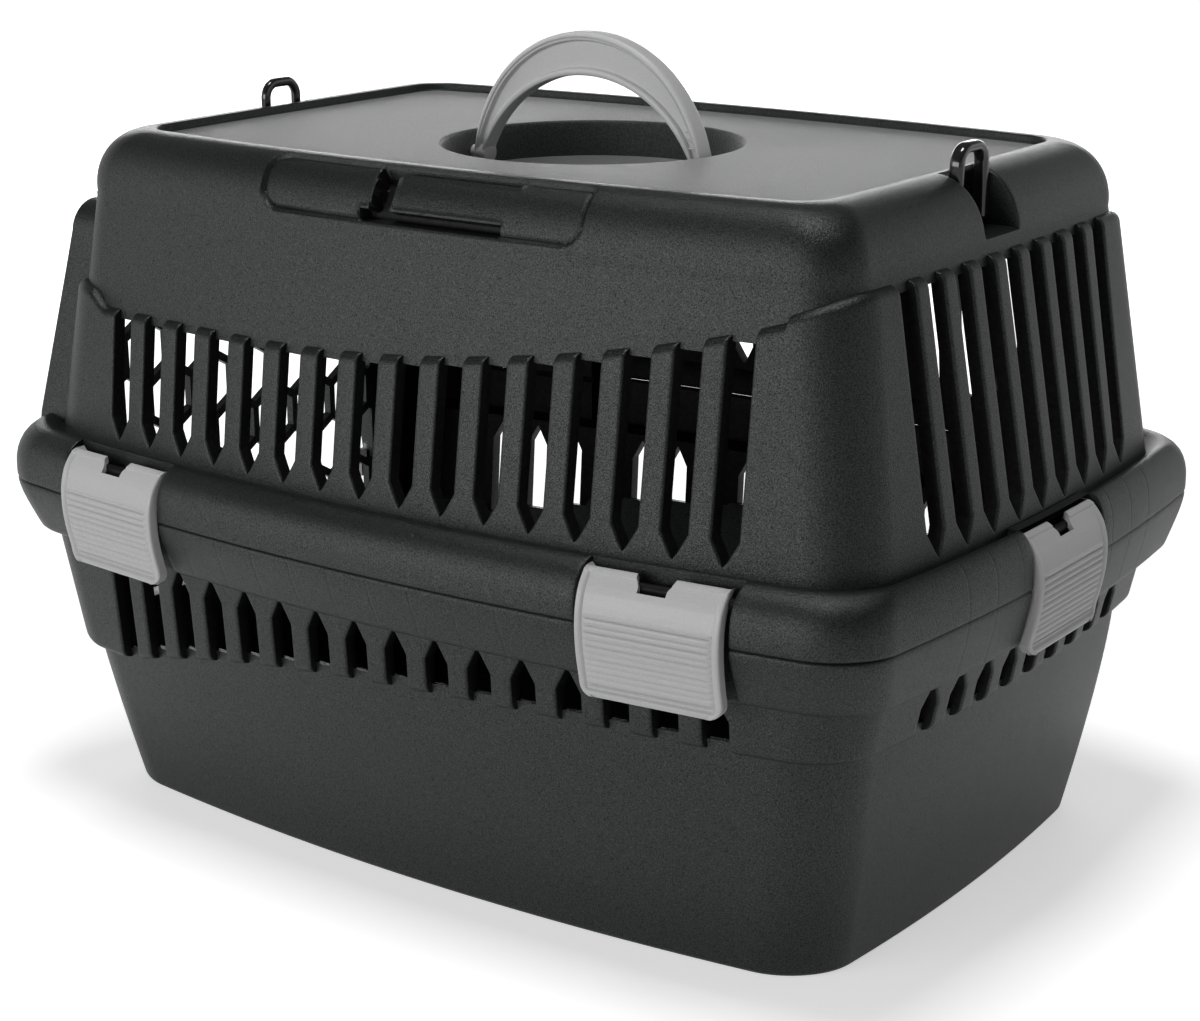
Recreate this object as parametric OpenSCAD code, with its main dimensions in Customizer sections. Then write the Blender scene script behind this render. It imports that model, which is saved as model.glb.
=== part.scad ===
/* [Shells] */
// Length over the rim
rim_len = 480; // [460:1:500]
// Width over the rim
rim_wid = 348; // [338:1:360]
// Height of the parting line between base and lid
part_z = 153; // [148:1:158]
// Height of the upper rim of the lid
top_z = 311; // [308:1:316]
// Wall thickness of both shells
wall = 2.5; // [2:0.1:3]
// How far the slotted bands stand proud of the plain panels
band_proud = 4; // [3:0.5:5]
// Radius of the upright corners
corner_r = 25; // [20:1:30]
// How far the long sides bow outwards in the middle, at the parting line
side_bow = 20; // [14:1:24]
// How far the ends bow outwards in the middle, at the parting line
end_bow = 10; // [6:1:14]

/* [Lid] */
// Lean of the lid's long sides, sideways per height
lid_side_lean = 0.14; // [0.12:0.01:0.16]
// Lean of the lid's end walls, sideways per height
lid_end_lean = 0.19; // [0.17:0.01:0.21]
// Height of the rounded shoulder below the upper rim
shoulder_h = 28; // [24:1:30]
// Depth of the tray in the top of the lid
tray_depth = 6; // [4:0.5:8]
// Width of the raised rim round the tray
tray_rim = 3; // [2:0.5:4]

/* [Base] */
// Lean of the base's slotted band on the long sides
base_side_lean = 0.06; // [0.05:0.01:0.08]
// Lean of the base's slotted band at the ends
base_end_lean = 0.2; // [0.18:0.01:0.22]
// Height at which the tub's walls start to curve inwards
belly_z = 100; // [95:1:104]
// How far the tub's walls curve inwards down to the floor
belly_in = 17; // [12:1:20]
// Radius of the bottom edge
floor_r = 8; // [5:1:10]
// Thickness of the floor
floor_t = 3; // [2.5:0.5:4]

/* [Rim] */
// Height of the rim roll above the parting line
roll_up = 23.5; // [22:0.5:23.8]
// Depth of the rim roll below the parting line
roll_down = 25; // [23:0.5:26]
// Height of the locating lip inside the joint of the shells
lip_h = 5; // [3:0.5:7]
// Gap between the locating lip and the lid
lip_gap = 0.4; // [0.3:0.05:0.6]

/* [Slots] */
// Number of slots along each long side
side_slots = 16; // [12:1:16]
// Spacing of the slots along the long sides
side_pitch = 21.6; // [20:0.1:22]
// Number of slots in the closed end
end_slots = 9; // [6:1:9]
// Spacing of the slots in the closed end
end_pitch = 20.7; // [19:0.1:21.5]
// Width of a slot
slot_w = 11.6; // [9:0.1:12.5]
// Height of the pointed end of a slot
slot_point = 10; // [8:1:12]
// Height of the lid slots' points above the parting line
lid_tip_up = 24; // [23:0.5:27]
// Depth of the base slots' points below the parting line
base_tip_down = 27; // [26:0.5:30]
// Height of the lid slots' tops at the door end
lid_slot_top = 230; // [222:1:236]
// Rise of the lid slots' tops towards the closed end
lid_slot_rise = 31; // [20:1:34]
// Height of the lid slots' tops in the closed end
end_slot_top = 277; // [260:1:279]
// Height of the base slots' floors at the closed end
base_slot_floor = 106; // [104:1:110]
// Fall of the base slots' floors towards the door end
base_slot_fall = 31; // [20:1:33]
// How far the bars between the slots overlap the plain panels
bar_lap = 4; // [3:0.5:6]

/* [Handle] */
// Radius of the round well that the handle folds into
well_r = 67; // [66:0.5:72]
// Depth of the well below the tray
well_depth = 16; // [15:0.5:20]
// Outer radius of the handle's bow
handle_r = 61; // [58:0.5:61.5]
// Height of the grip at the middle of the bow
grip_h = 19; // [16:0.5:22]
// Thickness of the handle from front to back
handle_t = 10; // [8:0.5:12]
// Width of the handle's legs at the pivots
leg_w = 6; // [5:0.5:7]
// Depth of the pivots below the tray
pivot_down = 7.5; // [7:0.5:8.5]
// Width of the raised edges round the handle's web
flange_w = 2.2; // [1.8:0.1:2.6]
// Thickness of the handle's web
web_t = 4; // [3:0.5:6]
// Radius of the pivot stubs
stub_r = 3; // [2.5:0.1:3.5]
// Running clearance round pins, stubs and bars
fit = 0.1; // [0.05:0.01:0.15]

/* [Strap loops] */
// Distance of the strap loops in from the rim's ends
loop_in = 54.4; // [53:0.1:56]
// Outer width of a strap loop
loop_w = 25; // [22:0.5:27]
// Height of a strap loop above its pivot
loop_h = 31; // [26:0.5:34]
// Rod radius of a strap loop
rod_r = 2; // [1.6:0.1:2.2]
// Side clearance of a strap loop in its notch
notch_gap = 2; // [1.5:0.1:3]

/* [Latches] */
// Distance of the side latches in from the rim's ends
latch_in = 95; // [92:1:105]
// Width of a latch
latch_w = 62.5; // [54:0.5:64]
// Thickness of a latch's plate
latch_t = 2.6; // [2.2:0.1:3]
// Height of the hinge bars above the parting line
bar_up = 16; // [15:0.5:16.5]
// Radius of the hinge bars
bar_r = 2.2; // [1.8:0.1:2.4]
// How far a latch's hook reaches under the base's catch
hook_bite = 1.2; // [0.8:0.1:1.4]
// Number of grip ribs on a latch
grip_ribs = 11; // [7:1:12]
// Side clearance of a latch in its recess
latch_gap = 1.5; // [1:0.1:2]

/* [Door] */
// Half width of the doorway
door_half = 100; // [92:1:102]
// Height of the doorway's sill
sill_z = 78; // [76:1:84]
// Height of the doorway's top
door_top = 268; // [262:1:270]
// Gap all round the door
door_gap = 2; // [1.5:0.1:3]
// Thickness of the door
door_t = 4; // [3.5:0.1:5]
// Width of the door's outer frame
door_frame = 9; // [8:0.5:11]
// Width across the flats of a door opening
hex_af = 25; // [20:0.5:30]
// Width of the bars between the door openings
hex_bar = 4; // [3:0.5:5]
// Distance of the door's plane in from the rim's end
door_in = 26; // [24:0.5:27]
// Travel of the door's bolts
bolt_travel = 8; // [7:0.5:8.5]
// Radius of the door's pins and bolts
pin_r = 1.8; // [1.6:0.1:1.9]

/* [Belt guide] */
// Length of the recess of the belt guide
guide_len = 178; // [160:1:184]
// Depth of the recess of the belt guide
guide_depth = 2; // [1.5:0.1:2.2]
// Width of the belt guide's openings
guide_gap = 6; // [5:0.5:7]

/* [Hidden] */
charcoal = [0.19, 0.20, 0.20];
grey = [0.64, 0.64, 0.64];
gloss_black = [0.06, 0.06, 0.06];
eps = 0.01;
corner_steps = 4;
long_steps = 9;
end_steps = 4;
shoulder_steps = 4;

// half sizes of the shells where they meet
rim_a = rim_len / 2;
rim_b = rim_wid / 2;
loop_x = rim_a - loop_in;
latch_x = rim_a - latch_in;
door_x = rim_a - door_in;
roll_end = 9;
roll_side = 18.7;
neck_a = rim_a - roll_end;
neck_b = rim_b - roll_side;
tip_z = part_z + lid_tip_up;
apex_z = part_z - base_tip_down;
tray_z = top_z - tray_depth;
shoulder_z = top_z - shoulder_h;
roll_top = part_z + roll_up;
roll_bottom = part_z - roll_down;
bow_fade_side = 0.055;
bow_fade_end = 0.05;
shell_in = band_proud + wall;
shoulder_end = 23;
shoulder_side = 18;

// plan outline: rounded rectangle whose sides bow outwards in the middle
function arc_points(cx, cy, r, start) = [for (k = [0:corner_steps])
    let (t = start + 90 * k / corner_steps) [cx + r * cos(t), cy + r * sin(t)]];
function side_points(p, q, n) = [for (k = [1:n - 1]) p + (q - p) * k / n];
function round_rect(a, b, r) = concat(
    arc_points(a - r, b - r, r, 0),
    side_points([a - r, b], [r - a, b], long_steps),
    arc_points(r - a, b - r, r, 90),
    side_points([-a, b - r], [-a, r - b], end_steps),
    arc_points(r - a, r - b, r, 180),
    side_points([r - a, -b], [a - r, -b], long_steps),
    arc_points(a - r, r - b, r, 270),
    side_points([a, r - b], [a, b - r], end_steps));
// section = [z, half length, half width, corner radius, side bow, end bow]
function ring(s) = [for (p = round_rect(s[1], s[2], s[3]))
    [p.x - s[5] * (p.x / s[1]) * pow(p.y / s[2], 2),
     p.y - s[4] * (p.y / s[2]) * pow(p.x / s[1], 2), s[0]]];
function grown(s, d) = [s[0], s[1] + d, s[2] + d, max(s[3] + d, 4), s[4], s[5]];
module loft(sections) {
    rings = [for (s = sections) ring(s)];
    n = len(rings[0]);
    m = len(rings);
    lower = [for (k = [0:m - 2], i = [0:n - 1]) [k * n + i, (k + 1) * n + i, k * n + (i + 1) % n]];
    upper = [for (k = [0:m - 2], i = [0:n - 1])
        [(k + 1) * n + i, (k + 1) * n + (i + 1) % n, k * n + (i + 1) % n]];
    floor_cap = [[for (i = [0:n - 1]) i]];
    top_cap = [[for (i = [0:n - 1]) m * n - 1 - i]];
    polyhedron(points = [for (r = rings, p = r) p], faces = concat(lower, upper, floor_cap, top_cap));
}

// wall lines of the lid: the proud band's outer surface at height z
function lid_at(z) = [z, neck_a - lid_end_lean * (z - part_z), neck_b - lid_side_lean * (z - part_z),
    corner_r, side_bow - bow_fade_side * (z - part_z), end_bow - bow_fade_end * (z - part_z)];
function lid_panel(z, inset) = grown(lid_at(z), -band_proud - inset);
function lid_shoulder(t, height, inset) = let (s = lid_panel(shoulder_z, inset))
    [shoulder_z + height * sin(t), s[1] - shoulder_end * (1 - cos(t)),
     s[2] - shoulder_side * (1 - cos(t)), s[3] - 4 * (1 - cos(t)), s[4] - 2, s[5] - 2];
function tray_section(z, out) = let (s = lid_shoulder(90, shoulder_h, tray_rim))
    [z, s[1] + out, s[2] + out, s[3], s[4], s[5]];

// wall lines of the base
function base_band(z) = [z, neck_a - base_end_lean * (part_z - z), neck_b - base_side_lean * (part_z - z),
    corner_r, side_bow, end_bow];
function belly(z) = belly_in * pow(max(1 - z / belly_z, 0), 1.25);
function tub_at(z, inset) = let (s = base_band(max(z, belly_z)), f = min(z / belly_z, 1))
    [z, s[1] - band_proud - inset - belly(z), s[2] - band_proud - inset - belly(z),
     max(corner_r + 3 - inset, 4), side_bow - 5 * (1 - f), end_bow - 3 * (1 - f)];

// rolled rim: [height above the parting line, inset from the rim's half sizes]
roll_upper = [[0, 0], [9, 0.2], [15.5, 2], [20.5, 5.5], [roll_up, 11]];
roll_lower = [[-roll_down, 11], [1.5 - roll_down, 8], [-12, 3.2], [-3, 0.6], [0, 0.2]];
function roll_sections(rows, thick) = [for (p = rows)
    [part_z + p[0], rim_a - p[1] * 0.6 - thick, rim_b - p[1] - thick, corner_r - thick, side_bow, end_bow]];

// slot tops and floors follow a sweep along the long sides
function side_x(i) = (i - (side_slots + 1) / 2) * side_pitch;
function end_y(j) = (j - (end_slots + 1) / 2) * end_pitch;
row_half = side_pitch * (side_slots - 1) / 2;
function lid_top(x) = lid_slot_top + lid_slot_rise * pow(max((x + row_half / 2) / (row_half * 1.5), 0), 2);
function base_floor(x) = base_slot_floor
    - base_slot_fall * pow(max((row_half - x) / (2 * row_half), 0), 3);
module lid_slot(top) {
    polygon([[0, tip_z], [slot_w / 2, tip_z + slot_point], [slot_w / 2, top], [-slot_w / 2, top],
        [-slot_w / 2, tip_z + slot_point]]);
}
module base_slot(bottom) {
    polygon([[0, apex_z], [-slot_w / 2, apex_z - slot_point], [-slot_w / 2, bottom], [slot_w / 2, bottom],
        [slot_w / 2, apex_z - slot_point]]);
}
// stand an outline in the XZ plane at height and run it along Y
module along_y(from, to) {
    translate([0, to, 0]) rotate([90, 0, 0]) linear_extrude(to - from) children();
}
// stand an outline in the YZ plane and run it along X
module along_x(from, to) {
    translate([from, 0, 0]) rotate([90, 0, 90]) linear_extrude(to - from) children();
}
module lid_slots(extra) {
    for (i = [1:side_slots]) {
        along_y(-rim_b, rim_b) translate([side_x(i), 0]) lid_slot(lid_top(side_x(i)) + extra);
    }
    for (j = [1:end_slots]) {
        along_x(neck_a / 2, rim_a + 1) translate([end_y(j), 0]) lid_slot(end_slot_top + extra);
    }
}
module base_slots(extra) {
    for (i = [1:side_slots]) {
        along_y(-rim_b, rim_b) translate([side_x(i), 0]) base_slot(base_floor(side_x(i)) - extra);
    }
    for (j = [1:end_slots]) {
        along_x(neck_a / 2, rim_a + 1) translate([end_y(j), 0]) base_slot(base_slot_floor - extra);
    }
}

// latch places: [x, y, turn about Z] of the middle of each recess on the rim
function rim_y(x) = rim_b - side_bow * pow(x / rim_a, 2);
latch_turn = atan(2 * side_bow * latch_x / (rim_a * rim_a));
function latch_place(n) = n == 0 ? [-latch_x, -rim_y(latch_x), -latch_turn] :
    n == 1 ? [latch_x, -rim_y(latch_x), latch_turn] :
    n == 2 ? [-latch_x, rim_y(latch_x), 180 + latch_turn] :
    n == 3 ? [latch_x, rim_y(latch_x), 180 - latch_turn] : [rim_a, 0, 90];
module at_latch(n) {
    p = latch_place(n);
    translate([p.x, p.y, 0]) rotate([0, 0, p.z]) children();
}
recess_half = latch_w / 2 + latch_gap;
recess_back = 12.5;
cheek = 2.5;
bar_in = 7.5;
eye_wall = 1.4;
bar_z = part_z + bar_up;
socket = 2;
module recess_blocks(from, to, back) {
    for (n = [0:4]) {
        at_latch(n) translate([-recess_half - cheek, -4, from])
            cube([2 * (recess_half + cheek), 4 + back, to - from]);
    }
}
module bar_sockets() {
    for (n = [0:4]) {
        at_latch(n) translate([-recess_half - socket, bar_in, bar_z]) rotate([0, 90, 0])
            cylinder(r = bar_r + 0.02, h = 2 * (recess_half + socket), $fn = 32);
    }
}
module recesses(from, to) {
    for (n = [0:4]) {
        at_latch(n) translate([-recess_half, -10, from]) cube([2 * recess_half, 10 + recess_back, to - from]);
    }
}

// door end: a frame stands proud of the end wall round the doorway
frame_top = door_top + 6;
frame_sill = sill_z - 8;
frame_half = door_half + 28;
module frame_outline() {
    hull() {
        translate([-(door_half - 10), frame_top - 14]) circle(14, $fn = 24);
        translate([door_half - 10, frame_top - 14]) circle(14, $fn = 24);
        translate([-(door_half + 24), roll_top]) square([2 * (door_half + 24), eps]);
        translate([-(door_half + 26), part_z]) square([2 * (door_half + 26), eps]);
        translate([-(door_half - 10), frame_sill + 14]) circle(14, $fn = 24);
        translate([door_half - 10, frame_sill + 14]) circle(14, $fn = 24);
    }
}
function frame_front(z) = z > part_z ? door_x + 22 - 13 * (z - part_z) / (frame_top - part_z)
    : door_x + 10 + 12 * (z - frame_sill) / (part_z - frame_sill);
module frame_block(from, to) {
    intersection() {
        along_x(-rim_a - 1, -neck_a + 45) frame_outline();
        along_y(-rim_b, rim_b) polygon([
            [-frame_front(from), from], [-frame_front(to), to], [-neck_a + 45, to], [-neck_a + 45, from]]);
    }
}
module doorway_outline(half, low, high, r) {
    hull() {
        for (s = [-1, 1]) {
            translate([s * (half - r), high - r]) circle(r, $fn = 24);
            translate([s * (half - r), low + r]) circle(r, $fn = 24);
        }
    }
}
door_r = 6;
door_stop = 4;
module doorway() {
    along_x(-rim_a - 5, -door_x + door_t / 2 + 0.5) doorway_outline(door_half, sill_z, door_top, door_r);
    along_x(-rim_a - 5, -neck_a + 60) translate([-door_stop / 2, 0])
        doorway_outline(door_half - door_stop / 2, sill_z + door_stop, door_top - door_stop, door_r);
    // the hinge side has square corners and no stop, so that the door's edge swings clear
    translate([-rim_a - 5, -door_half, sill_z])
        cube([rim_a + 15 - door_x, door_half + hinge_y + 4, door_top - sill_z]);
}
// jamb: the rim of the doorway runs inwards past the door
jamb = 5;
module jamb_block() {
    along_x(-rim_a, -door_x + 7) doorway_outline(door_half + jamb, sill_z - jamb, door_top + jamb, door_r + jamb);
}
hinge_y = -(door_half - 6);
bolt_y = door_half - 9;
bolt_x = door_x + door_t / 2 + pin_r + fit;
module door_holes() {
    translate([-door_x, hinge_y, frame_sill + 2]) cylinder(r = pin_r + fit, h = frame_top, $fn = 24);
    translate([-bolt_x, bolt_y, frame_sill + 2]) cylinder(r = pin_r + 3 * fit, h = frame_top, $fn = 24);
}

// strap loop notches in the end shoulders of the lid
notch_half = loop_w / 2 + notch_gap;
loop_pivot_z = top_z + 11.5 - loop_h;
notch_floor = loop_pivot_z - rod_r - 2;
notch_in = 5.6;
module notch(side) {
    mirror([side < 0 ? 1 : 0, 0, 0]) {
        translate([loop_x - notch_in, -notch_half, notch_floor]) cube([60, 2 * notch_half, 60]);
        translate([loop_x, 0, loop_pivot_z]) rotate([90, 0, 0])
            cylinder(r = rod_r + fit, h = 2 * notch_half + 6, center = true, $fn = 24);
    }
}
module notch_pocket(side) {
    mirror([side < 0 ? 1 : 0, 0, 0]) translate([loop_x - notch_in - wall, -notch_half - wall - 1, notch_floor - wall])
        cube([30, 2 * (notch_half + wall + 1), top_z - notch_floor + wall - 0.5]);
}

// belt guide: a shallow recess high on the front long side, with an opening for the belt
guide_mid = 4;
guide_back = -112;
guide_low = tray_z - 18;
guide_high = tray_z + 3;
module guide_outline(d) {
    hull() {
        for (s = [-1, 1]) {
            translate([guide_mid + s * (guide_len / 2 - 11), guide_low + 11]) circle(11 + d, $fn = 20);
            translate([guide_mid + s * (guide_len / 2 - 16), guide_high - 6]) circle(6 + d, $fn = 20);
        }
    }
}
module guide_cuts() {
    translate([-30, guide_low]) square([74, guide_gap]);
    polygon([[-24, guide_low], [-14, guide_low], [-4, guide_high - 3], [-13, guide_high - 3]]);
    translate([-16, guide_high - 4]) square([72, 3]);
}
module lid_outer() {
    loft(concat([lid_panel(part_z, 0), lid_panel(shoulder_z, 0)],
        [for (k = [1:shoulder_steps]) lid_shoulder(90 * k / shoulder_steps, shoulder_h, 0)]));
}
module lid_core(inset) {
    loft(concat([lid_panel(part_z - 3, inset), lid_panel(shoulder_z, inset)],
        [for (k = [1:shoulder_steps])
            lid_shoulder(90 * k / shoulder_steps, tray_z - wall - shoulder_z, inset)]));
}
module lid_band_region() {
    sweep = [for (k = [0:12]) let (x = -row_half - 20 + k * (2 * row_half + 20) / 12) [x, lid_top(x) + bar_lap]];
    along_y(-rim_b, rim_b) polygon(concat([[-rim_a, part_z], [-rim_a, lid_slot_top + 8],
        [-row_half - 40, lid_slot_top + 13], [-row_half - 26, lid_slot_top + 10]], sweep,
        [[neck_a - 20, end_slot_top + bar_lap], [neck_a - 20, part_z]]));
    translate([neck_a - 32, -rim_b, part_z]) cube([40, rim_wid, end_slot_top + bar_lap - part_z]);
}
module lid_band() {
    difference() {
        intersection() {
            loft([lid_at(part_z), lid_at(end_slot_top + bar_lap + 2)]);
            lid_band_region();
        }
        lid_slots(bar_lap + 2);
    }
}
module lid_shell() color(charcoal) {
    difference() {
        union() {
            difference() {
                lid_outer();
                along_y(-rim_b, guide_back + 10) guide_outline(0);
            }
            intersection() {
                loft(concat([lid_panel(shoulder_z - 20, guide_depth), lid_panel(shoulder_z, guide_depth)],
                    [for (k = [1:shoulder_steps])
                        lid_shoulder(90 * k / shoulder_steps, shoulder_h - guide_depth, guide_depth)]));
                along_y(-rim_b, guide_back + 11) guide_outline(1);
            }
            lid_band();
            difference() {
                loft(roll_sections(roll_upper, 0));
                difference() {
                    loft(roll_sections([for (p = roll_upper) [p[0] - wall, p[1]]], wall));
                    loft([grown(lid_at(part_z - 10), -1), grown(lid_at(roll_top), -1)]);
                    recess_blocks(part_z - wall, roll_top, recess_back + cheek);
                }
            }
            frame_block(part_z, frame_top);
        }
        difference() {
            lid_core(wall);
            translate([0, 0, tray_z - well_depth - wall]) cylinder(r = well_r + wall, h = 60, $fn = 64);
            notch_pocket(1);
            notch_pocket(-1);
            along_y(-rim_b, guide_back + 10) guide_outline(wall);
            jamb_block();
        }
        intersection() {
            lid_core(wall + guide_depth);
            along_y(-rim_b, guide_back + 11) guide_outline(wall + 1);
        }
        loft([tray_section(tray_z, -1), tray_section(top_z + 1, 0)]);
        translate([0, 0, tray_z - well_depth]) cylinder(r = well_r, h = 60, $fn = 64);
        rotate([0, 90, 0]) translate([-(tray_z - pivot_down), 0, 0])
            cylinder(r = stub_r + fit, h = 2 * well_r + 20, center = true, $fn = 24);
        lid_slots(0);
        recesses(part_z - 1, roll_top + 1);
        bar_sockets();
        along_y(-rim_b, guide_back) guide_cuts();
        doorway();
        door_holes();
        notch(1);
        notch(-1);
    }
}

// base tub
function floor_section(t) = let (s = tub_at(floor_r * (1 - sin(t)), 0), d = floor_r * (1 - cos(t)))
    [floor_r * (1 - sin(t)), s[1] - d, s[2] - d, s[3] - d / 2, s[4], s[5]];
module tub_outer() {
    loft(concat([for (t = [90, 60, 30]) floor_section(t)],
        [for (z = [floor_r, 25, 50, 75, belly_z, roll_bottom + 5]) tub_at(z, 0)]));
}
module tub_cavity() {
    loft(concat([tub_at(floor_t, wall + floor_r / 2)],
        [for (z = [floor_r, 25, 50, 75, belly_z]) tub_at(z, wall)],
        [grown(base_band(part_z), -shell_in), grown(base_band(part_z + 1), -shell_in)]));
}
module base_band_region() {
    sweep = [for (k = [0:12]) let (x = -row_half + k * (2 * row_half) / 12) [x, base_floor(x) - bar_lap]];
    along_y(-rim_b, rim_b) polygon(concat([[-rim_a, part_z], [-rim_a, frame_sill + 4],
        [-row_half - 24, frame_sill], [-row_half - 10, base_floor(-row_half) - bar_lap]], sweep,
        [[rim_a, base_slot_floor - bar_lap], [rim_a, part_z]]));
}
module locating_lip() {
    difference() {
        union() {
            loft([grown(base_band(part_z - 8), -shell_in + 1), grown(base_band(part_z - 0.4), -shell_in + 1)]);
            loft([grown(lid_at(part_z - 1), -shell_in - lip_gap),
                grown(lid_at(part_z + lip_h), -shell_in - lip_gap)]);
        }
        loft([grown(base_band(part_z - 16), -shell_in - lip_gap),
            grown(lid_at(part_z), -shell_in - lip_gap - 2), grown(lid_at(part_z + lip_h + 1), -shell_in - lip_gap - 2)]);
    }
}
catch_z = part_z - 20;
catch_in = recess_back - 2;
module base_tub() color(charcoal) {
    difference() {
        union() {
            tub_outer();
            difference() {
                intersection() {
                    loft([base_band(frame_sill - 2), base_band(part_z)]);
                    base_band_region();
                }
                base_slots(bar_lap + 2);
            }
            difference() {
                loft(roll_sections(roll_lower, 0));
                difference() {
                    loft(roll_sections([for (p = roll_lower) [p[0] + wall, p[1]]], wall));
                    loft([grown(base_band(roll_bottom - 5), -1), grown(base_band(part_z + 10), -1)]);
                    recess_blocks(roll_bottom, part_z, recess_back + cheek);
                }
            }
            frame_block(frame_sill, part_z);
        }
        difference() {
            tub_cavity();
            intersection() {
                jamb_block();
                translate([-rim_a, -rim_b, 0]) cube([rim_a, rim_wid, part_z]);
            }
        }
        base_slots(0);
        difference() {
            recesses(roll_bottom - 1, part_z + 1);
            for (n = [0:4]) {
                at_latch(n) translate([-latch_w / 4, catch_in, catch_z]) cube([latch_w / 2, 10, 3]);
            }
        }
        doorway();
        door_holes();
    }
    difference() {
        locating_lip();
        doorway();
        translate([-rim_a, -frame_half, part_z - 0.7]) cube([40, 2 * frame_half, lip_h + 2]);
    }
}

// handle: a crescent bow with raised edges, round pivot eyes and stubs
pivot_z = tray_z - pivot_down;
bow_top = pivot_z + handle_r - 3.5;
inner_half = handle_r - leg_w;
inner_rise = bow_top - grip_h - pivot_z;
inner_r = (inner_half * inner_half + inner_rise * inner_rise) / (2 * inner_rise);
module bow_outline(d) {
    difference() {
        translate([0, bow_top - handle_r]) circle(handle_r - d, $fn = 96);
        translate([0, bow_top - grip_h - inner_r]) circle(inner_r + d, $fn = 96);
        translate([-2 * handle_r, pivot_z - 4 * handle_r + d]) square([4 * handle_r, 4 * handle_r]);
    }
}
module handle() color(grey) {
    difference() {
        along_y(-handle_t / 2, handle_t / 2) bow_outline(0);
        for (s = [-1, 1]) {
            along_y(s > 0 ? web_t / 2 : -handle_t, s > 0 ? handle_t : -web_t / 2) bow_outline(flange_w);
        }
    }
    for (s = [-1, 1]) {
        translate([s * (handle_r - leg_w / 2), 0, pivot_z]) rotate([0, 90, 0])
            cylinder(r = handle_t / 2, h = leg_w, center = true, $fn = 48);
        translate([s * (handle_r + (well_r + wall + 1 - handle_r) / 2 - 0.5), 0, pivot_z]) rotate([0, 90, 0])
            cylinder(r = stub_r, h = well_r + wall + 1 - handle_r, center = true, $fn = 48);
        translate([s * (handle_r + 1.2), 0, pivot_z]) rotate([0, 90, 0])
            cylinder(r = stub_r + 1.5, h = 3, center = true, $fn = 48);
    }
}

// strap loop: a bent rod that turns on its own cross bar
module strap_loop(side) color(gloss_black) {
    mid_r = loop_w / 2 - rod_r;
    bend_z = loop_pivot_z + loop_h - loop_w / 2;
    translate([side * loop_x, 0, 0]) {
        translate([0, 0, bend_z]) rotate([90, 0, 90]) rotate_extrude(angle = 180, $fn = 48)
            translate([mid_r, 0]) circle(rod_r, $fn = 24);
        for (s = [-1, 1]) {
            translate([0, s * mid_r, loop_pivot_z]) cylinder(r = rod_r, h = bend_z - loop_pivot_z, $fn = 24);
        }
        translate([0, 0, loop_pivot_z]) rotate([90, 0, 0])
            cylinder(r = rod_r, h = 2 * (notch_half + 2), center = true, $fn = 24);
    }
}

// latch: an S-shaped plate with a hinge eye, grip ribs, a notch and a hook.
// outline points are [distance inwards from the rim, height above the parting line]
plate_outer = [[7, 20.5], [4.2, 18], [1, 13], [-0.6, 8], [-1.3, 3], [-1.4, -3], [-0.9, -9], [0.1, -15], [1.5, -20],
    [2.2, -24], [2.2, -27], [1.5, -30]];
module plate_outline(thick) {
    inner = [for (k = [len(plate_outer) - 1:-1:0]) plate_outer[k] + [thick, 0]];
    polygon([for (p = concat(plate_outer, inner)) [p[0], part_z + p[1]]]);
}
module across(from, to) {
    translate([from, 0, 0]) rotate([90, 0, 90]) linear_extrude(to - from) children();
}
rib_from = part_z + 4;
rib_to = part_z - 25;
module latch_solid() {
    half = latch_w / 2;
    notch_w = latch_w / 5;
    difference() {
        union() {
            across(-half, half) plate_outline(latch_t);
            for (s = [-1, 1]) {
                across(s * half - (s > 0 ? 2 : 0), s * half + (s > 0 ? 0 : 2)) translate([-0.8, 0])
                    plate_outline(latch_t);
                across(s * (half / 2 + 3) - 7, s * (half / 2 + 3) + 7) hull() {
                    translate([bar_in, bar_z]) circle(bar_r + eye_wall, $fn = 32);
                    translate([2.6, bar_z - 6]) square([2, 4]);
                }
            }
            across(-half, half) translate([1.8, part_z - 30]) square([latch_t + 0.8, 2]);
            across(-half * 0.45, half * 0.45) polygon([[3.4, catch_z - 6], [3.4, catch_z - 1.4],
                [catch_in + hook_bite, catch_z - 1.4], [catch_in + hook_bite, catch_z - 2.9], [6.5, catch_z - 6]]);
        }
        across(-half - 1, half + 1) translate([bar_in, bar_z]) circle(bar_r + fit, $fn = 32);
        across(-half - 1, half + 1) translate([bar_in, bar_z - 1.6]) square([12, 3.2]);
        across(-notch_w / 2, notch_w / 2) translate([-3, bar_z - 4]) square([14, 12]);
    }
    for (k = [0:grip_ribs - 1]) {
        z = rib_from + (rib_to - rib_from) * k / (grip_ribs - 1);
        x = lookup(part_z - z, [for (p = plate_outer) [-p[1], p[0]]]);
        translate([-half + 4, x + 0.4, z - 0.7]) cube([latch_w - 8, 1.4, 1.4]);
    }
}
module latch(n) color(grey) at_latch(n) {
    latch_solid();
}
module hinge_bar(n) color(charcoal) at_latch(n) {
    translate([-recess_half - socket, bar_in, bar_z]) rotate([0, 90, 0])
        cylinder(r = bar_r, h = 2 * (recess_half + socket), $fn = 32);
}

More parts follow.
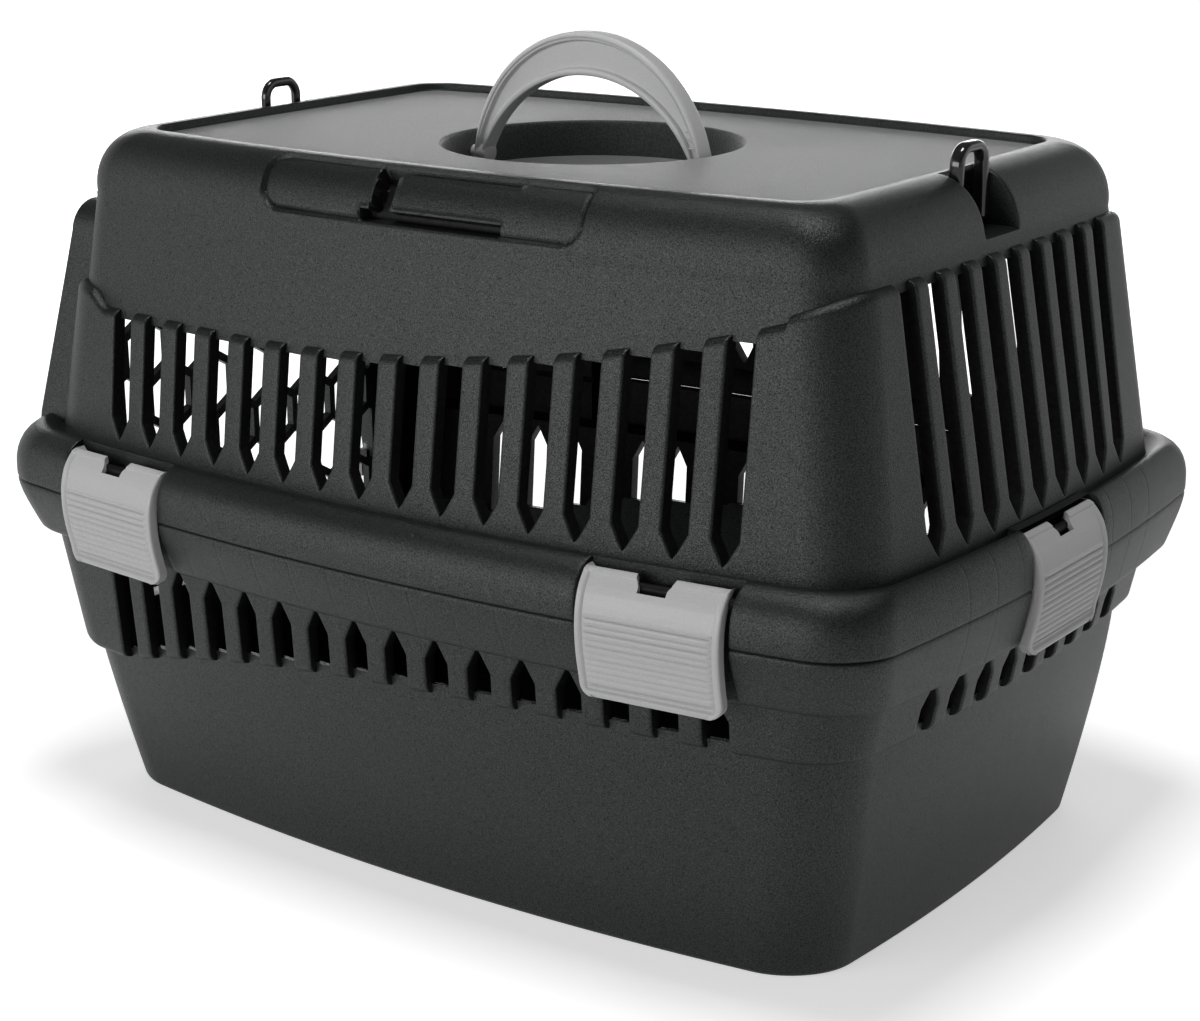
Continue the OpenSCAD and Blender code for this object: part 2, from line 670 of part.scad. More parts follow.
// door: a framed honeycomb panel with hinge eyes and bolt guides
hex_pitch = hex_af + hex_bar;
door_low = sill_z + door_gap;
door_high = door_top - door_gap;
door_mid = (door_low + door_high) / 2;
module hex_field() {
    rows = ceil((door_high - door_low) / (hex_pitch * 0.866) / 2);
    columns = ceil(door_half / hex_pitch) + 1;
    for (i = [-rows:rows], j = [-columns:columns]) {
        translate([(j + (i % 2 == 0 ? 0 : 0.5)) * hex_pitch, door_mid + i * hex_pitch * 0.866])
            rotate(30) circle(hex_af / sqrt(3), $fn = 6);
    }
}
barrel_h = 22;
barrel_up = 11;
bolt_len = 36;
tab_h = 8;
tab_shift = 4.7;
guide_h = 6;
module bolt_guides(s) {
    edge = s > 0 ? door_high : door_low;
    for (d = [guide_h / 2 + 5, bolt_len - guide_h]) {
        translate([-door_x - door_t / 2 - 2 * pin_r - 1, bolt_y - pin_r - 2, edge - s * d - guide_h / 2])
            cube([2 * pin_r + 2, 2 * pin_r + 4, guide_h]);
    }
}
module door_panel() color(charcoal) {
    difference() {
        union() {
            along_x(-door_x - door_t / 2, -door_x + door_t / 2) difference() {
                doorway_outline(door_half - door_gap, door_low, door_high, door_r - door_gap);
                intersection() {
                    doorway_outline(door_half - door_gap - door_frame, door_low + door_frame,
                        door_high - door_frame, door_r / 2);
                    hex_field();
                }
            }
            bolt_guides(1);
            bolt_guides(-1);
            for (z = [door_low + barrel_up, door_high - barrel_up - barrel_h]) {
                translate([-door_x, hinge_y, z]) cylinder(r = pin_r + 1.4, h = barrel_h, $fn = 24);
            }
        }
        translate([-door_x, hinge_y, door_low - 1]) cylinder(r = pin_r, h = barrel_up + barrel_h + 1, $fn = 24);
        translate([-door_x, hinge_y, door_high - barrel_up - barrel_h])
            cylinder(r = pin_r, h = barrel_up + barrel_h + 1, $fn = 24);
        translate([-bolt_x, bolt_y, door_low - 1]) cylinder(r = pin_r + fit, h = door_high, $fn = 24);
    }
}
module door_pin(s) color(charcoal) {
    low = s > 0 ? door_high - barrel_up - barrel_h : frame_sill + 3;
    high = s > 0 ? frame_top + 4 : door_low + barrel_up + barrel_h;
    translate([-door_x, hinge_y, low]) cylinder(r = pin_r, h = high - low, $fn = 24);
}
module door_bolt(s) color(grey) {
    edge = s > 0 ? door_high : door_low;
    mid = edge - s * (bolt_len / 2);
    translate([-bolt_x, bolt_y, mid]) cylinder(r = pin_r, h = bolt_len, center = true, $fn = 24);
    translate([-bolt_x - 6, bolt_y - 6, mid - tab_h / 2 - s * tab_shift]) cube([7, 12, tab_h]);
}

base_tub();
lid_shell();
handle();
strap_loop(-1);  // strap_loop_door_end
strap_loop(1);  // strap_loop_closed_end
latch(0);  // latch_front_door_end
latch(1);  // latch_front_closed_end
latch(2);  // latch_back_door_end
latch(3);  // latch_back_closed_end
latch(4);  // latch_end
hinge_bar(0);  // bar_front_door_end
hinge_bar(1);  // bar_front_closed_end
hinge_bar(2);  // bar_back_door_end
hinge_bar(3);  // bar_back_closed_end
hinge_bar(4);  // bar_end
door_panel();
door_pin(1);  // door_pin_upper
door_pin(-1);  // door_pin_lower
door_bolt(1);  // door_bolt_upper
door_bolt(-1);  // door_bolt_lower
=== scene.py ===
import math

import bpy
import numpy as np
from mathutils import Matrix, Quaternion, Vector


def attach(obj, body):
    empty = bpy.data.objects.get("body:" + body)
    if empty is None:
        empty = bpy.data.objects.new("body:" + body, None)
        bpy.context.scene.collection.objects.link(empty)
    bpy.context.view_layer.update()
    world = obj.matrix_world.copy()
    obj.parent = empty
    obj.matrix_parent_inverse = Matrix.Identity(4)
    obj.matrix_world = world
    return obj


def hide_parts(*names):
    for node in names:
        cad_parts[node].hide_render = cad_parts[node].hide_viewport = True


MM = 0.001
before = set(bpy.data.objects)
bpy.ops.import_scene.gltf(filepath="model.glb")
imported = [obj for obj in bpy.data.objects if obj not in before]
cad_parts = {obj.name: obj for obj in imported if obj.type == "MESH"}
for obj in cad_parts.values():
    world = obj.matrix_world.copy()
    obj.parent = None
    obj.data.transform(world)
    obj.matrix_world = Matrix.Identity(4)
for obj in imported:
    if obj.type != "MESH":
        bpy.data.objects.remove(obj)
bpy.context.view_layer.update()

# Sizes in millimetres, the same values as the part's source unless a comment says otherwise.
# the rim's half length and half width, the parting line, the wall, the step of the bands, the corners
RIM_A, RIM_B, PART_Z, WALL, PROUD, CORNER_R = 240.0, 174.0, 153.0, 2.5, 4.0, 25.0
# the lid's wall at the parting line, and how far the sides and the ends bow out
NECK_A, NECK_B, SIDE_BOW, END_BOW = 231.0, 155.3, 20.0, 10.0
# the tub's wall at the parting line and its bottom edge: a little wider and crisper than the source's
TUB_A, TUB_B, FOOT_R = 233.0, 159.6, 2.5
# where the shoulder starts, its height, the rim's top and the tray, which lies 2.4 above the source's
SHOULDER_Z, SHOULDER_H, TOP_Z, TRAY_Z = 283.0, 28.0, 311.0, 307.4
# slots: pitch and count along a side and the closed end, and their width
SIDE_PITCH, SIDE_SLOTS, END_PITCH, END_SLOTS, SLOT_W = 21.6, 16, 20.7, 9, 11.6
# the slots' points at the rims, the end's slot ends, and half the length of a side's row
TIP_Z, APEX_Z, END_TOP, BASE_FLOOR, ROW_HALF = 177.0, 126.0, 277.0, 106.0, 162.0
# latches: place along a side, half a recess's width, and its depth behind the rim
LATCH_X, RECESS_HALF, RECESS_BACK = 145.0, 32.75, 12.5

# ---------------------------------------------------------------- materials
def new_group(name, inputs, outputs):
    group = bpy.data.node_groups.new(name, "ShaderNodeTree")
    for label, kind, value in inputs:
        socket = group.interface.new_socket(label, in_out="INPUT", socket_type=kind)
        socket.default_value = value
    for label, kind in outputs:
        group.interface.new_socket(label, in_out="OUTPUT", socket_type=kind)
    return group, group.nodes.new("NodeGroupInput"), group.nodes.new("NodeGroupOutput")


def grain_group():
    """Moulded grain: fine cells for the height, and slow clouds for how shiny it is."""
    group, given, out = new_group(
        "moulded_grain",
        [("Cell size", "NodeSocketFloat", 900.0), ("Depth", "NodeSocketFloat", 0.2),
         ("Base roughness", "NodeSocketFloat", 0.45), ("Variation", "NodeSocketFloat", 0.1),
         ("Least shine", "NodeSocketFloat", 0.5), ("Most shine", "NodeSocketFloat", 0.5)],
        [("Normal", "NodeSocketVector"), ("Roughness", "NodeSocketFloat"), ("Tone", "NodeSocketFloat"),
         ("Sparkle", "NodeSocketFloat")])
    node, link = group.nodes.new, group.links.new
    place = node("ShaderNodeTexCoord")
    cells = node("ShaderNodeTexNoise")
    cells.inputs["Detail"].default_value = 3.0
    cells.inputs["Roughness"].default_value = 0.6
    link(place.outputs["Object"], cells.inputs["Vector"])
    link(given.outputs["Cell size"], cells.inputs["Scale"])
    bump = node("ShaderNodeBump")
    bump.inputs["Distance"].default_value = 0.0004
    link(cells.outputs[0], bump.inputs["Height"])
    link(given.outputs["Depth"], bump.inputs["Strength"])
    clouds = node("ShaderNodeTexNoise")
    clouds.inputs["Scale"].default_value = 14.0
    clouds.inputs["Detail"].default_value = 4.0
    link(place.outputs["Object"], clouds.inputs["Vector"])
    spread = node("ShaderNodeMath")
    spread.operation = "MULTIPLY_ADD"
    link(clouds.outputs[0], spread.inputs[0])
    link(given.outputs["Variation"], spread.inputs[1])
    link(given.outputs["Base roughness"], spread.inputs[2])
    tone = node("ShaderNodeMapRange")
    tone.inputs["To Min"].default_value = 0.86
    tone.inputs["To Max"].default_value = 1.14
    link(cells.outputs[0], tone.inputs["Value"])
    sparkle = node("ShaderNodeMapRange")
    sparkle.inputs["From Min"].default_value = 0.3
    sparkle.inputs["From Max"].default_value = 0.7
    link(cells.outputs[0], sparkle.inputs["Value"])
    link(given.outputs["Least shine"], sparkle.inputs["To Min"])
    link(given.outputs["Most shine"], sparkle.inputs["To Max"])
    link(sparkle.outputs[0], out.inputs["Sparkle"])
    link(bump.outputs["Normal"], out.inputs["Normal"])
    link(spread.outputs[0], out.inputs["Roughness"])
    link(tone.outputs[0], out.inputs["Tone"])
    return group


# one group for every plastic
GRAIN = grain_group()


def plastic(name, colour, cell_size, depth, roughness, variation=0.1, coat=0.0, shine=(0.5, 0.5), sheen=0.0,
            gleam=(1, 1, 1)):
    """A moulded plastic: its colour, its grain's cells, depth and gloss, a clear coat for glossy pieces,
    a soft sheen for matt ones, and the tint of its gleam."""
    material = bpy.data.materials.new(name)
    material.use_nodes = True
    tree = material.node_tree
    shader = tree.nodes["Principled BSDF"]
    grain = tree.nodes.new("ShaderNodeGroup")
    grain.node_tree = GRAIN
    grain.inputs["Cell size"].default_value = cell_size
    grain.inputs["Depth"].default_value = depth
    grain.inputs["Base roughness"].default_value = roughness
    grain.inputs["Variation"].default_value = variation
    tint = tree.nodes.new("ShaderNodeMix")
    tint.data_type = "RGBA"
    tint.blend_type = "MULTIPLY"
    tint.inputs["Factor"].default_value = 1.0
    tint.inputs["A"].default_value = (*colour, 1.0)
    tree.links.new(grain.outputs["Tone"], tint.inputs["B"])
    tree.links.new(tint.outputs["Result"], shader.inputs["Base Color"])
    tree.links.new(grain.outputs["Roughness"], shader.inputs["Roughness"])
    tree.links.new(grain.outputs["Normal"], shader.inputs["Normal"])
    grain.inputs["Least shine"].default_value, grain.inputs["Most shine"].default_value = shine
    tree.links.new(grain.outputs["Sparkle"], shader.inputs["Specular IOR Level"])
    shader.inputs["Coat Weight"].default_value = coat
    shader.inputs["Coat Roughness"].default_value = 0.12
    shader.inputs["Specular Tint"].default_value = (*gleam, 1)
    shader.inputs["Sheen Weight"].default_value = sheen
    shader.inputs["Sheen Roughness"].default_value = 0.35
    return material


COOL = (0.94, 1.0, 0.98)
SHELL = plastic("charcoal_grained", (0.0068, 0.0080, 0.0077), 1800.0, 0.6, 0.31, 0.10, shine=(0.1, 0.8),
                gleam=COOL)
# The tray's grained, matt charcoal, with its colour about twice the shell's: painted light standing in for
# the brighter grazing reflection on the top.
TOP_PAINTED_LIGHTER = plastic("charcoal_matt_painted_lighter", (0.014, 0.016, 0.015), 1200.0, 1.0, 0.50, 0.06, shine=(0.3, 1.0),
                   sheen=0.8, gleam=COOL)
# A plain black: the real colour of the small black parts, and painted shade on the bands' inner faces and
# slot walls and in the belt guide's openings, where the shell's own plastic would lie in shadow.
BLACK_AND_PAINTED_SHADE = plastic("black_plain_and_painted_shade", (0.003, 0.003, 0.003), 500.0, 0.05, 0.5, 0.1, shine=(0.15, 0.25))
GREY = plastic("grey_satin", (0.465, 0.465, 0.465), 1500.0, 0.08, 0.38, 0.08)
GRIP = plastic("grey_grip", (0.60, 0.60, 0.605), 1500.0, 0.12, 0.40, 0.08)
GLOSS = plastic("black_gloss", (0.010, 0.010, 0.010), 300.0, 0.02, 0.10, 0.06, 0.6)

# finishes of the solids that stay, and of those that other pieces take the place of
NODE_FINISH = {"base_tub": SHELL, "lid_shell": SHELL, "handle": GRIP, "strap_loop_door_end": GLOSS,
               "strap_loop_closed_end": GLOSS, "door_panel": SHELL, "door_bolt_upper": GREY,
               "door_bolt_lower": GREY}
for name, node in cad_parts.items():
    finish = NODE_FINISH.get(name, GREY if name.startswith("latch") else BLACK_AND_PAINTED_SHADE)
    node.data.materials.clear()
    node.data.materials.append(finish)


# ---------------------------------------------------------------- surfaces
def smooth(t):
    """Ease from 0 to 1: 3t^2 - 2t^3 with t held between 0 and 1."""
    t = np.clip(t, 0.0, 1.0)
    return t * t * (3.0 - 2.0 * t)


def add_piece(name, points, faces, finishes, body, nodes=(), marks=None, crease=35.0):
    """One mesh object from points in millimetres and a list of face arrays, riding on a body."""
    mesh = bpy.data.meshes.new(name)
    points = np.asarray(points, float).reshape(-1, 3) * MM
    sizes = np.concatenate([np.full(len(f), f.shape[1]) for f in faces])
    corners = np.concatenate([f.ravel() for f in faces])
    mesh.vertices.add(len(points))
    mesh.vertices.foreach_set("co", points.ravel())
    mesh.loops.add(len(corners))
    mesh.loops.foreach_set("vertex_index", corners.astype(np.int32))
    mesh.polygons.add(len(sizes))
    mesh.polygons.foreach_set("loop_start", np.concatenate([[0], np.cumsum(sizes)[:-1]]).astype(np.int32))
    mesh.polygons.foreach_set("use_smooth", np.ones(len(sizes), bool))
    for finish in finishes:
        mesh.materials.append(finish)
    if marks is not None:
        mesh.polygons.foreach_set("material_index", marks.astype(np.int32))
    mesh.update(calc_edges=True)
    mesh.validate()
    mesh.set_sharp_from_angle(angle=math.radians(crease))
    piece = bpy.data.objects.new(name, mesh)
    bpy.context.scene.collection.objects.link(piece)
    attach(piece, body)
    if nodes:
        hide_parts(*nodes)
    return piece


def skin(outer, inner, keep=None, wrap=False, flip=False, cap=False, depth=None, inside=0):
    """A wall between two grids of points (rows, columns, 3): the kept cells of both, and a side face
    on every free edge p-q of the outer cells, [q, p, inner p, inner q]. cap closes the last row."""
    rows, cols = outer.shape[:2]
    index = np.arange(rows * cols).reshape(rows, cols)
    after = (np.arange(cols) + 1) % cols
    span = cols if wrap else cols - 1
    cells = np.stack([index[:-1, :span], index[:-1][:, after[:span]], index[1:][:, after[:span]],
                      index[1:, :span]], -1)
    keep = np.ones(cells.shape[:2], bool) if keep is None else keep[:, :span]
    kept = cells[keep]
    marks = None if depth is None else depth[:, :span][keep]
    lid = index[-1] if cap else np.empty(0, int)
    if flip:
        kept, lid = kept[:, ::-1], lid[::-1]
    count = rows * cols
    edge = np.concatenate([kept[:, [k, (k + 1) % 4]] for k in range(4)])
    closed = np.concatenate([edge, np.stack([lid, np.roll(lid, -1)], 1)])
    free = edge[~np.isin(edge[:, 0] * count + edge[:, 1], closed[:, 1] * count + closed[:, 0])]
    side = np.stack([free[:, 1], free[:, 0], free[:, 0] + count, free[:, 1] + count], 1)
    faces = [kept, kept[:, ::-1] + count, side]
    if cap:
        faces += [lid[None], lid[None, ::-1] + count]
    if marks is not None:
        unseen = np.full(len(kept) + len(side), inside)
        marks = np.concatenate([marks, unseen, np.zeros(2 if cap else 0, int)])
    return np.concatenate([outer.reshape(-1, 3), inner.reshape(-1, 3)]), faces, marks


def tube(rings):
    """A closed solid along rings (stations, points, 3), with a flat face at each end."""
    n, m = rings.shape[:2]
    index = np.arange(n * m).reshape(n, m)
    nxt = np.roll(index, -1, axis=1)
    sides = np.stack([index[:-1], nxt[:-1], nxt[1:], index[1:]], -1).reshape(-1, 4)
    return rings.reshape(-1, 3), [sides, index[0][None, ::-1], index[-1][None]]


def merge(*parts):
    """Several (points, faces) joined as one."""
    points, faces, start = [], [], 0
    for p, f in parts:
        points.append(np.asarray(p).reshape(-1, 3))
        faces += [g + start for g in f]
        start += len(points[-1])
    return np.concatenate(points), faces


def bent(inset, height, thick):
    """The inner line of a wall profile: each point moved by thick along the profile's own normal.
    The tangent (ti, tz) is the slope of the profile, and the normal is (tz, -ti)."""
    ti, tz = np.gradient(inset), np.gradient(height)
    size = np.hypot(ti, tz)
    return inset + thick * tz / size, height - thick * ti / size


# ---------------------------------------------------------------- wall lines, as in the part's source
def lid_at(z):
    rise = z - PART_Z
    return [z, NECK_A - 0.19 * rise, NECK_B - 0.14 * rise, CORNER_R + 0 * rise, SIDE_BOW - 0.055 * rise,
            END_BOW - 0.05 * rise]


def base_band(z):
    drop = PART_Z - z
    return [z, TUB_A - 0.2 * drop, TUB_B - 0.06 * drop, CORNER_R + 0 * drop, SIDE_BOW + 0 * drop,
            END_BOW + 0 * drop]


def squarer(section, cols, share):
    """The tub's door end bows out less than its other end: the end bow times (1 - share) there."""
    door_side = (cols[3] < 0) | ((cols[0] == SIDE) & (cols[1] < 0))
    section[5] = section[5] * (1 - share * door_side)


def tub_at(z, inset):
    """The tub's wall: the band's line above 100 mm, then drawn in by 17 (1 - z/100)^1.25."""
    s = base_band(np.maximum(z, 100.0))
    f = np.minimum(z / 100.0, 1.0)
    pull = 17.0 * np.maximum(1 - z / 100.0, 0) ** 1.25
    return [z, s[1] - PROUD - inset - pull, s[2] - PROUD - inset - pull,
            np.maximum(CORNER_R + 3 - inset, 4.0) + 0 * z, SIDE_BOW - 5 * (1 - f), END_BOW - 3 * (1 - f)]


def shoulder(t, height, inset):
    """The rounded shoulder: z = 283 + height sin t, drawn in by 23 and 18 (1 - cos t)."""
    s = lid_at(SHOULDER_Z + 0 * t)
    c = 1 - np.cos(t)
    return [SHOULDER_Z + height * np.sin(t), s[1] - PROUD - inset - 23 * c, s[2] - PROUD - inset - 18 * c,
            np.maximum(s[3] - PROUD - inset - 4 * c, 4), s[4] - 2 * np.sin(t), s[5] - 2 * np.sin(t)]


def rim_line(inset, z):
    """The rolled rim at an inset from its widest line."""
    return [z, RIM_A - 0.6 * inset, RIM_B - inset, CORNER_R + 0 * inset, SIDE_BOW + 0 * inset,
            END_BOW + 0 * inset]


def grown(s, d):
    return [s[0], s[1] + d, s[2] + d, np.maximum(s[3] + d, 4.0), s[4], s[5]]


def mix(s, t, f):
    return [p + (q - p) * f for p, q in zip(s, t)]


def stack(*sections):
    """Sections of (rows, columns) arrays set one above the other."""
    return [np.vstack([s[k] for s in sections]) for k in range(6)]


def spread(section, cols):
    """A section of row values as (rows, columns) arrays."""
    return [np.repeat(np.atleast_1d(v)[:, None], cols, 1) if np.ndim(v) < 2 else v for v in section]


SIDE, END, CORNER = 0, 1, 2


def columns(side, end, side_wide, end_wide, corner, door_y=None, side_far=None):
    """The upright lines round the shell, anticlockwise from above: kind, place in the rolled rim, place
    at full slot width, signs, and how far along the end a corner runs. With door_y the ring is open.
    side_far gives the far side lines of its own."""
    out = []

    def seg(kind, roll, wide, sx, sy, y1):
        out.append(np.stack([np.full(len(roll), kind), roll, wide, np.full(len(roll), sx),
                             np.full(len(roll), sy), np.full(len(roll), y1)]).astype(float))

    y_end, inside = end[-1], corner[1:-1]
    far, far_wide = side_far or (side, side_wide)
    at_door, door_end = (inside, y_end) if door_y is None else (np.append(inside, 1.0), door_y)
    seg(CORNER, at_door[::-1], at_door[::-1], -1, -1, door_end)
    seg(SIDE, side, side_wide, 0, -1, 0)
    seg(CORNER, inside, inside, 1, -1, y_end)
    seg(END, end, end_wide, 1, 0, y_end)
    seg(CORNER, inside[::-1], inside[::-1], 1, 1, y_end)
    seg(SIDE, far[::-1], far_wide[::-1], 0, 1, 0)
    seg(CORNER, at_door, at_door, -1, 1, door_end)
    if door_y is None:
        seg(END, end[::-1], end_wide[::-1], -1, 0, y_end)
    return np.concatenate(out, 1)


def plan(cols, section, f, x_side, keep=(171.0, 90.0)):
    """Points (rows, columns, 3) of a section. Straight parts keep their real X or Y at any height, and
    past the keep places they close up towards the corner. A corner is a short straight, a quarter circle
    and a short straight. Then the sides bow outwards: X = x - eb (x/a)(y/b)^2 and
    Y = y - sb (y/b)(x/a)^2. f is 0 in the rim and 1 at full slot width."""
    kind, roll, wide, sx, sy, y1 = cols
    z, a, b, r, sb, eb = section
    v = roll + (wide - roll) * f
    side_end = np.minimum(x_side, (a - r) * (1 - eb / a) - 0.6)
    far_y = np.where(kind == END, np.abs(y1), y1)
    end_end = np.minimum(far_y, (b - r) * (1 - sb / b) - 0.6)
    over_x = keep[0] + (np.abs(v) - keep[0]) * (side_end - keep[0]) / (x_side - keep[0])
    over_y = keep[1] + (np.abs(v) - keep[1]) * (end_end - keep[1]) / np.maximum(far_y - keep[1], 0.1)
    v = np.where((kind == SIDE) & (np.abs(v) > keep[0]), np.sign(v) * over_x, v)
    v = np.where((kind == END) & (np.abs(v) > keep[1]), np.sign(v) * over_y, v)
    start_x = side_end / (1 - eb / a)
    start_y = end_end / (1 - sb / b)
    rr = np.minimum(r, np.minimum(a - start_x, b - start_y) - 0.3)
    q = roll + 0 * f
    angle = np.clip((q - 0.15) / 0.7, 0, 1) * math.pi / 2
    corner_x = np.where(q < 0.15, start_x + (a - rr - start_x) * q / 0.15, a - rr + rr * np.sin(angle))
    corner_y = np.where(q > 0.85, b - rr + (start_y - b + rr) * (q - 0.85) / 0.15,
                        b - rr + rr * np.cos(angle))
    corner_x = np.where(q > 0.85, a, corner_x)
    corner_y = np.where(q < 0.15, b, corner_y)
    x = np.where(kind == SIDE, v / (1 - eb / a), np.where(kind == END, sx * a, sx * corner_x))
    y = np.where(kind == SIDE, sy * b, np.where(kind == END, v / (1 - sb / b), sy * corner_y))
    return np.stack([x - eb * (x / a) * (y / b) ** 2, y - sb * (y / b) * (x / a) ** 2, z + 0 * x], -1)


# ---------------------------------------------------------------- slotted bands with their rolled rims
# columns' distances from a slot's edge, the rounding there as (distance, depth), half a closed slot's
# width in the roll, and how much less the tub's door end bows
STEPS = np.array([0.0, 0.25, 0.7, 1.3, 2.6])
EDGE_ROUND = ([0.0, 0.25, 0.7, 1.3, 2.0], [0.95, 0.42, 0.12, 0.02, 0.0])
THIN = 0.25
DOOR_BOW = 0.5


def slot_columns(centres, edges, limit):
    """Places across a row of slots: five on each side of every slot, one between slots, and four at
    each edge of a latch recess. Two sets: slots closed up to 0.25 mm, and slots at full width."""
    around = np.concatenate([-(THIN + STEPS)[::-1], THIN + STEPS])
    shift = np.concatenate([np.full(5, THIN - SLOT_W / 2), np.full(5, SLOT_W / 2 - THIN)])
    roll = (centres[:, None] + around).ravel()
    wide = (centres[:, None] + around + shift).ravel()
    between = (centres[1:] + centres[:-1]) / 2
    pitch = centres[1] - centres[0]
    past = np.linspace(centres[-1] + 0.48 * pitch, limit, 5)
    fixed = np.concatenate([between, past, -past])
    roll, wide = np.sort(np.append(roll, fixed)), np.sort(np.append(wide, fixed))
    extra = np.concatenate([[e - s * 0.04, e + s * 0.04, e + s * 0.4, e + s * 1.0] for e, s in edges])
    extra = extra[np.abs(extra) < limit]
    both = np.append(roll, extra)
    order = np.argsort(both)
    return both[order], np.append(wide, np.interp(extra, roll, wide))[order]


# the slots' centres, the rows' ends, the latch recesses' edges, and the places round a corner
SIDE_C = (np.arange(1, SIDE_SLOTS + 1) - (SIDE_SLOTS + 1) / 2) * SIDE_PITCH
END_C = (np.arange(1, END_SLOTS + 1) - (END_SLOTS + 1) / 2) * END_PITCH
X_SIDE, Y_END, Y_DOOR = 179.5, 91.5, 101.0
SIDE_EDGES = [(s * LATCH_X + d * RECESS_HALF, d) for s in (-1, 1) for d in (-1, 1)]
END_EDGES = [(d * RECESS_HALF, d) for d in (-1, 1)]
CORNER_Q = np.concatenate([[0, 0.07], np.linspace(0.15, 0.85, 25), [0.93, 1.0]])


def nearest(values, centres):
    """The centre that lies nearest to each value."""
    return centres[np.abs(values[..., None] - centres).argmin(-1)]


def lid_top(x):
    """Tops of the lid's slots along a side: 230 + 31 u^2, with u growing from 0 past the first quarter."""
    return 230 + 31 * np.maximum((x + ROW_HALF / 2) / (ROW_HALF * 1.5), 0) ** 2


def base_floor(x):
    """Feet of the tub's slots along a side: 31 mm lower at the door end, by the cube of the way there."""
    return BASE_FLOOR - 31 * np.maximum((ROW_HALF - x) / (2 * ROW_HALF), 0) ** 3


def lid_band_top(x):
    """Top of the band along a side: flat at the door end, the slots' sweep, then up to the end's top."""
    xs = np.linspace(-ROW_HALF - 14, ROW_HALF, 30)
    return np.interp(x, np.concatenate([[-240, -202, -188], xs, [211]]),
                     np.concatenate([[238, 243, 241], lid_top(xs) + 4, [END_TOP + 4]]))


def base_band_foot(x):
    """Foot of the tub's band along a side: flat at the door end, then 4 below the slots."""
    xs = np.linspace(-ROW_HALF, ROW_HALF, 30)
    return np.interp(x, np.concatenate([[-240, -188, -174], xs, [176]]),
                     np.concatenate([[74, 70, 70], base_floor(xs) - 4, [BASE_FLOOR - 4]]))


# the bars' end rounds, and the height over which a slot opens from its point to full width
CAP_R, TAPER = 4.0, 10.0
# rows of the band: from under the point, up the taper, along the bars, and round their ends
TIP_STEPS = np.concatenate([[-3.0, -1.2], np.arange(0, 11)])
BAR_STEPS = np.array([0.2, 0.4, 0.6, 0.8, 1.0])[:, None]
CAP_ANGLES = np.radians([15, 30, 45, 60, 75, 90])[:, None]
# a latch recess's edge: distance past it, and the share of 1 mm that it is rounded by
RECESS_EDGE = ([0, 0.4, 1.0, 1.5], [1.0, 0.3, 0.04, 0])
# faint sink marks in the roll over each slot
SINK, SINK_WIDE = 0.12, 0.5


def band_section(cols, lower, profile, ledge):
    """Rows of a band: the roll, the ledge back to the wall, the slots' points, the bars and their end
    rounds. Gives the section, the slots' share of full width, the wall's heights and its inset."""
    n = cols.shape[1]
    way, tip, wall_at = (-1, APEX_Z, base_band) if lower else (1, TIP_Z, lid_at)
    nominal = plan(cols, spread(wall_at(np.array([tip + way * 50.0])), n), np.ones((1, n)), X_SIDE)[0]
    top = (base_band_foot if lower else lid_band_top)(nominal[:, 0])
    if not lower:
        top = np.where(cols[0] == END, END_TOP + 4, top)
    inset, height = profile[:, 0], profile[:, 1]
    wall_start = spread(wall_at(np.array([tip - way * 3.0])), n)
    crest = spread(rim_line(inset[-1:], height[-1:]), n)
    rows_ledge = mix([np.repeat(v, len(ledge), 0) for v in crest],
                     [np.repeat(v, len(ledge), 0) for v in wall_start], ledge[:, :1])
    rows_ledge[0] = np.repeat(ledge[:, 1:], n, 1)
    z_tip = TIP_STEPS * way + tip
    z_bar = z_tip[-1] + (top - way * CAP_R - z_tip[-1]) * BAR_STEPS
    z_cap = top - way * CAP_R + way * CAP_R * np.sin(CAP_ANGLES)
    z_wall = np.vstack([np.repeat(z_tip[:, None], n, 1), z_bar, z_cap])
    rim_rows = np.zeros((len(profile) + len(ledge), n))
    share = np.vstack([rim_rows, np.clip((z_wall - tip) * way / TAPER, 0, 1)])
    wall_in = np.zeros_like(share)
    wall_in[-len(CAP_ANGLES):] = CAP_R * (1 - np.cos(CAP_ANGLES))
    section = stack(spread(rim_line(inset, height), n), rows_ledge, wall_at(z_wall))
    if lower:
        squarer(section, cols, DOOR_BOW * np.vstack([np.zeros((len(profile), 1)), ledge[:, :1],
                                                     1 + 0 * z_wall[:, :1]]))
    return section, share, z_wall, wall_in


def slot_rounding(cols, along, centres, share, z_wall, way, tip):
    """How far the bars' long edges are rounded back, beside each slot and easing in above its point."""
    width = THIN + (SLOT_W / 2 - THIN) * share
    rounding = np.interp(np.abs(along - centres) - width, *EDGE_ROUND) * (cols[0] != CORNER)
    first = len(share) - len(z_wall)
    rounding[:first + 2] = 0
    rounding[first + 2:] *= smooth((z_wall[2:] - tip) * way / 2.0 + 0.1)
    return rounding


def latch_recess(kind, along, inset, rows):
    """How far the roll is cut back at the latches, and how far a column lies past a recess's edge. An
    end's rim closes in by 0.6 of its inset, so the cut there is divided by 0.6."""
    near = np.where(kind == SIDE, np.abs(np.abs(along) - LATCH_X), np.where(kind == END, np.abs(along), 99.0))
    past = near - RECESS_HALF
    cut = np.where(past < 0, RECESS_BACK, np.interp(past, *RECESS_EDGE))[:rows]
    row_inset = np.concatenate([inset, np.full(rows - len(inset), 99.0)])[:, None]
    scale = np.where(kind == END, 1 / 0.6, 1.0)
    recess = np.zeros_like(along)
    recess[:rows] = np.where(past[:rows] < 0, np.maximum(cut * scale - row_inset, 0), cut * (row_inset < 90))
    return recess, past


def slot_cells(cols):
    """The cells between columns that are open slots."""
    kind, roll = cols[0], cols[1]
    middle = ((roll[1:] + roll[:-1]) / 2)[:, None]
    gap = np.where(kind[1:] == SIDE, np.abs(middle - SIDE_C).min(1), np.abs(middle - END_C).min(1))
    return (kind[1:] == kind[:-1]) & (kind[1:] != CORNER) & (gap < 0.2)


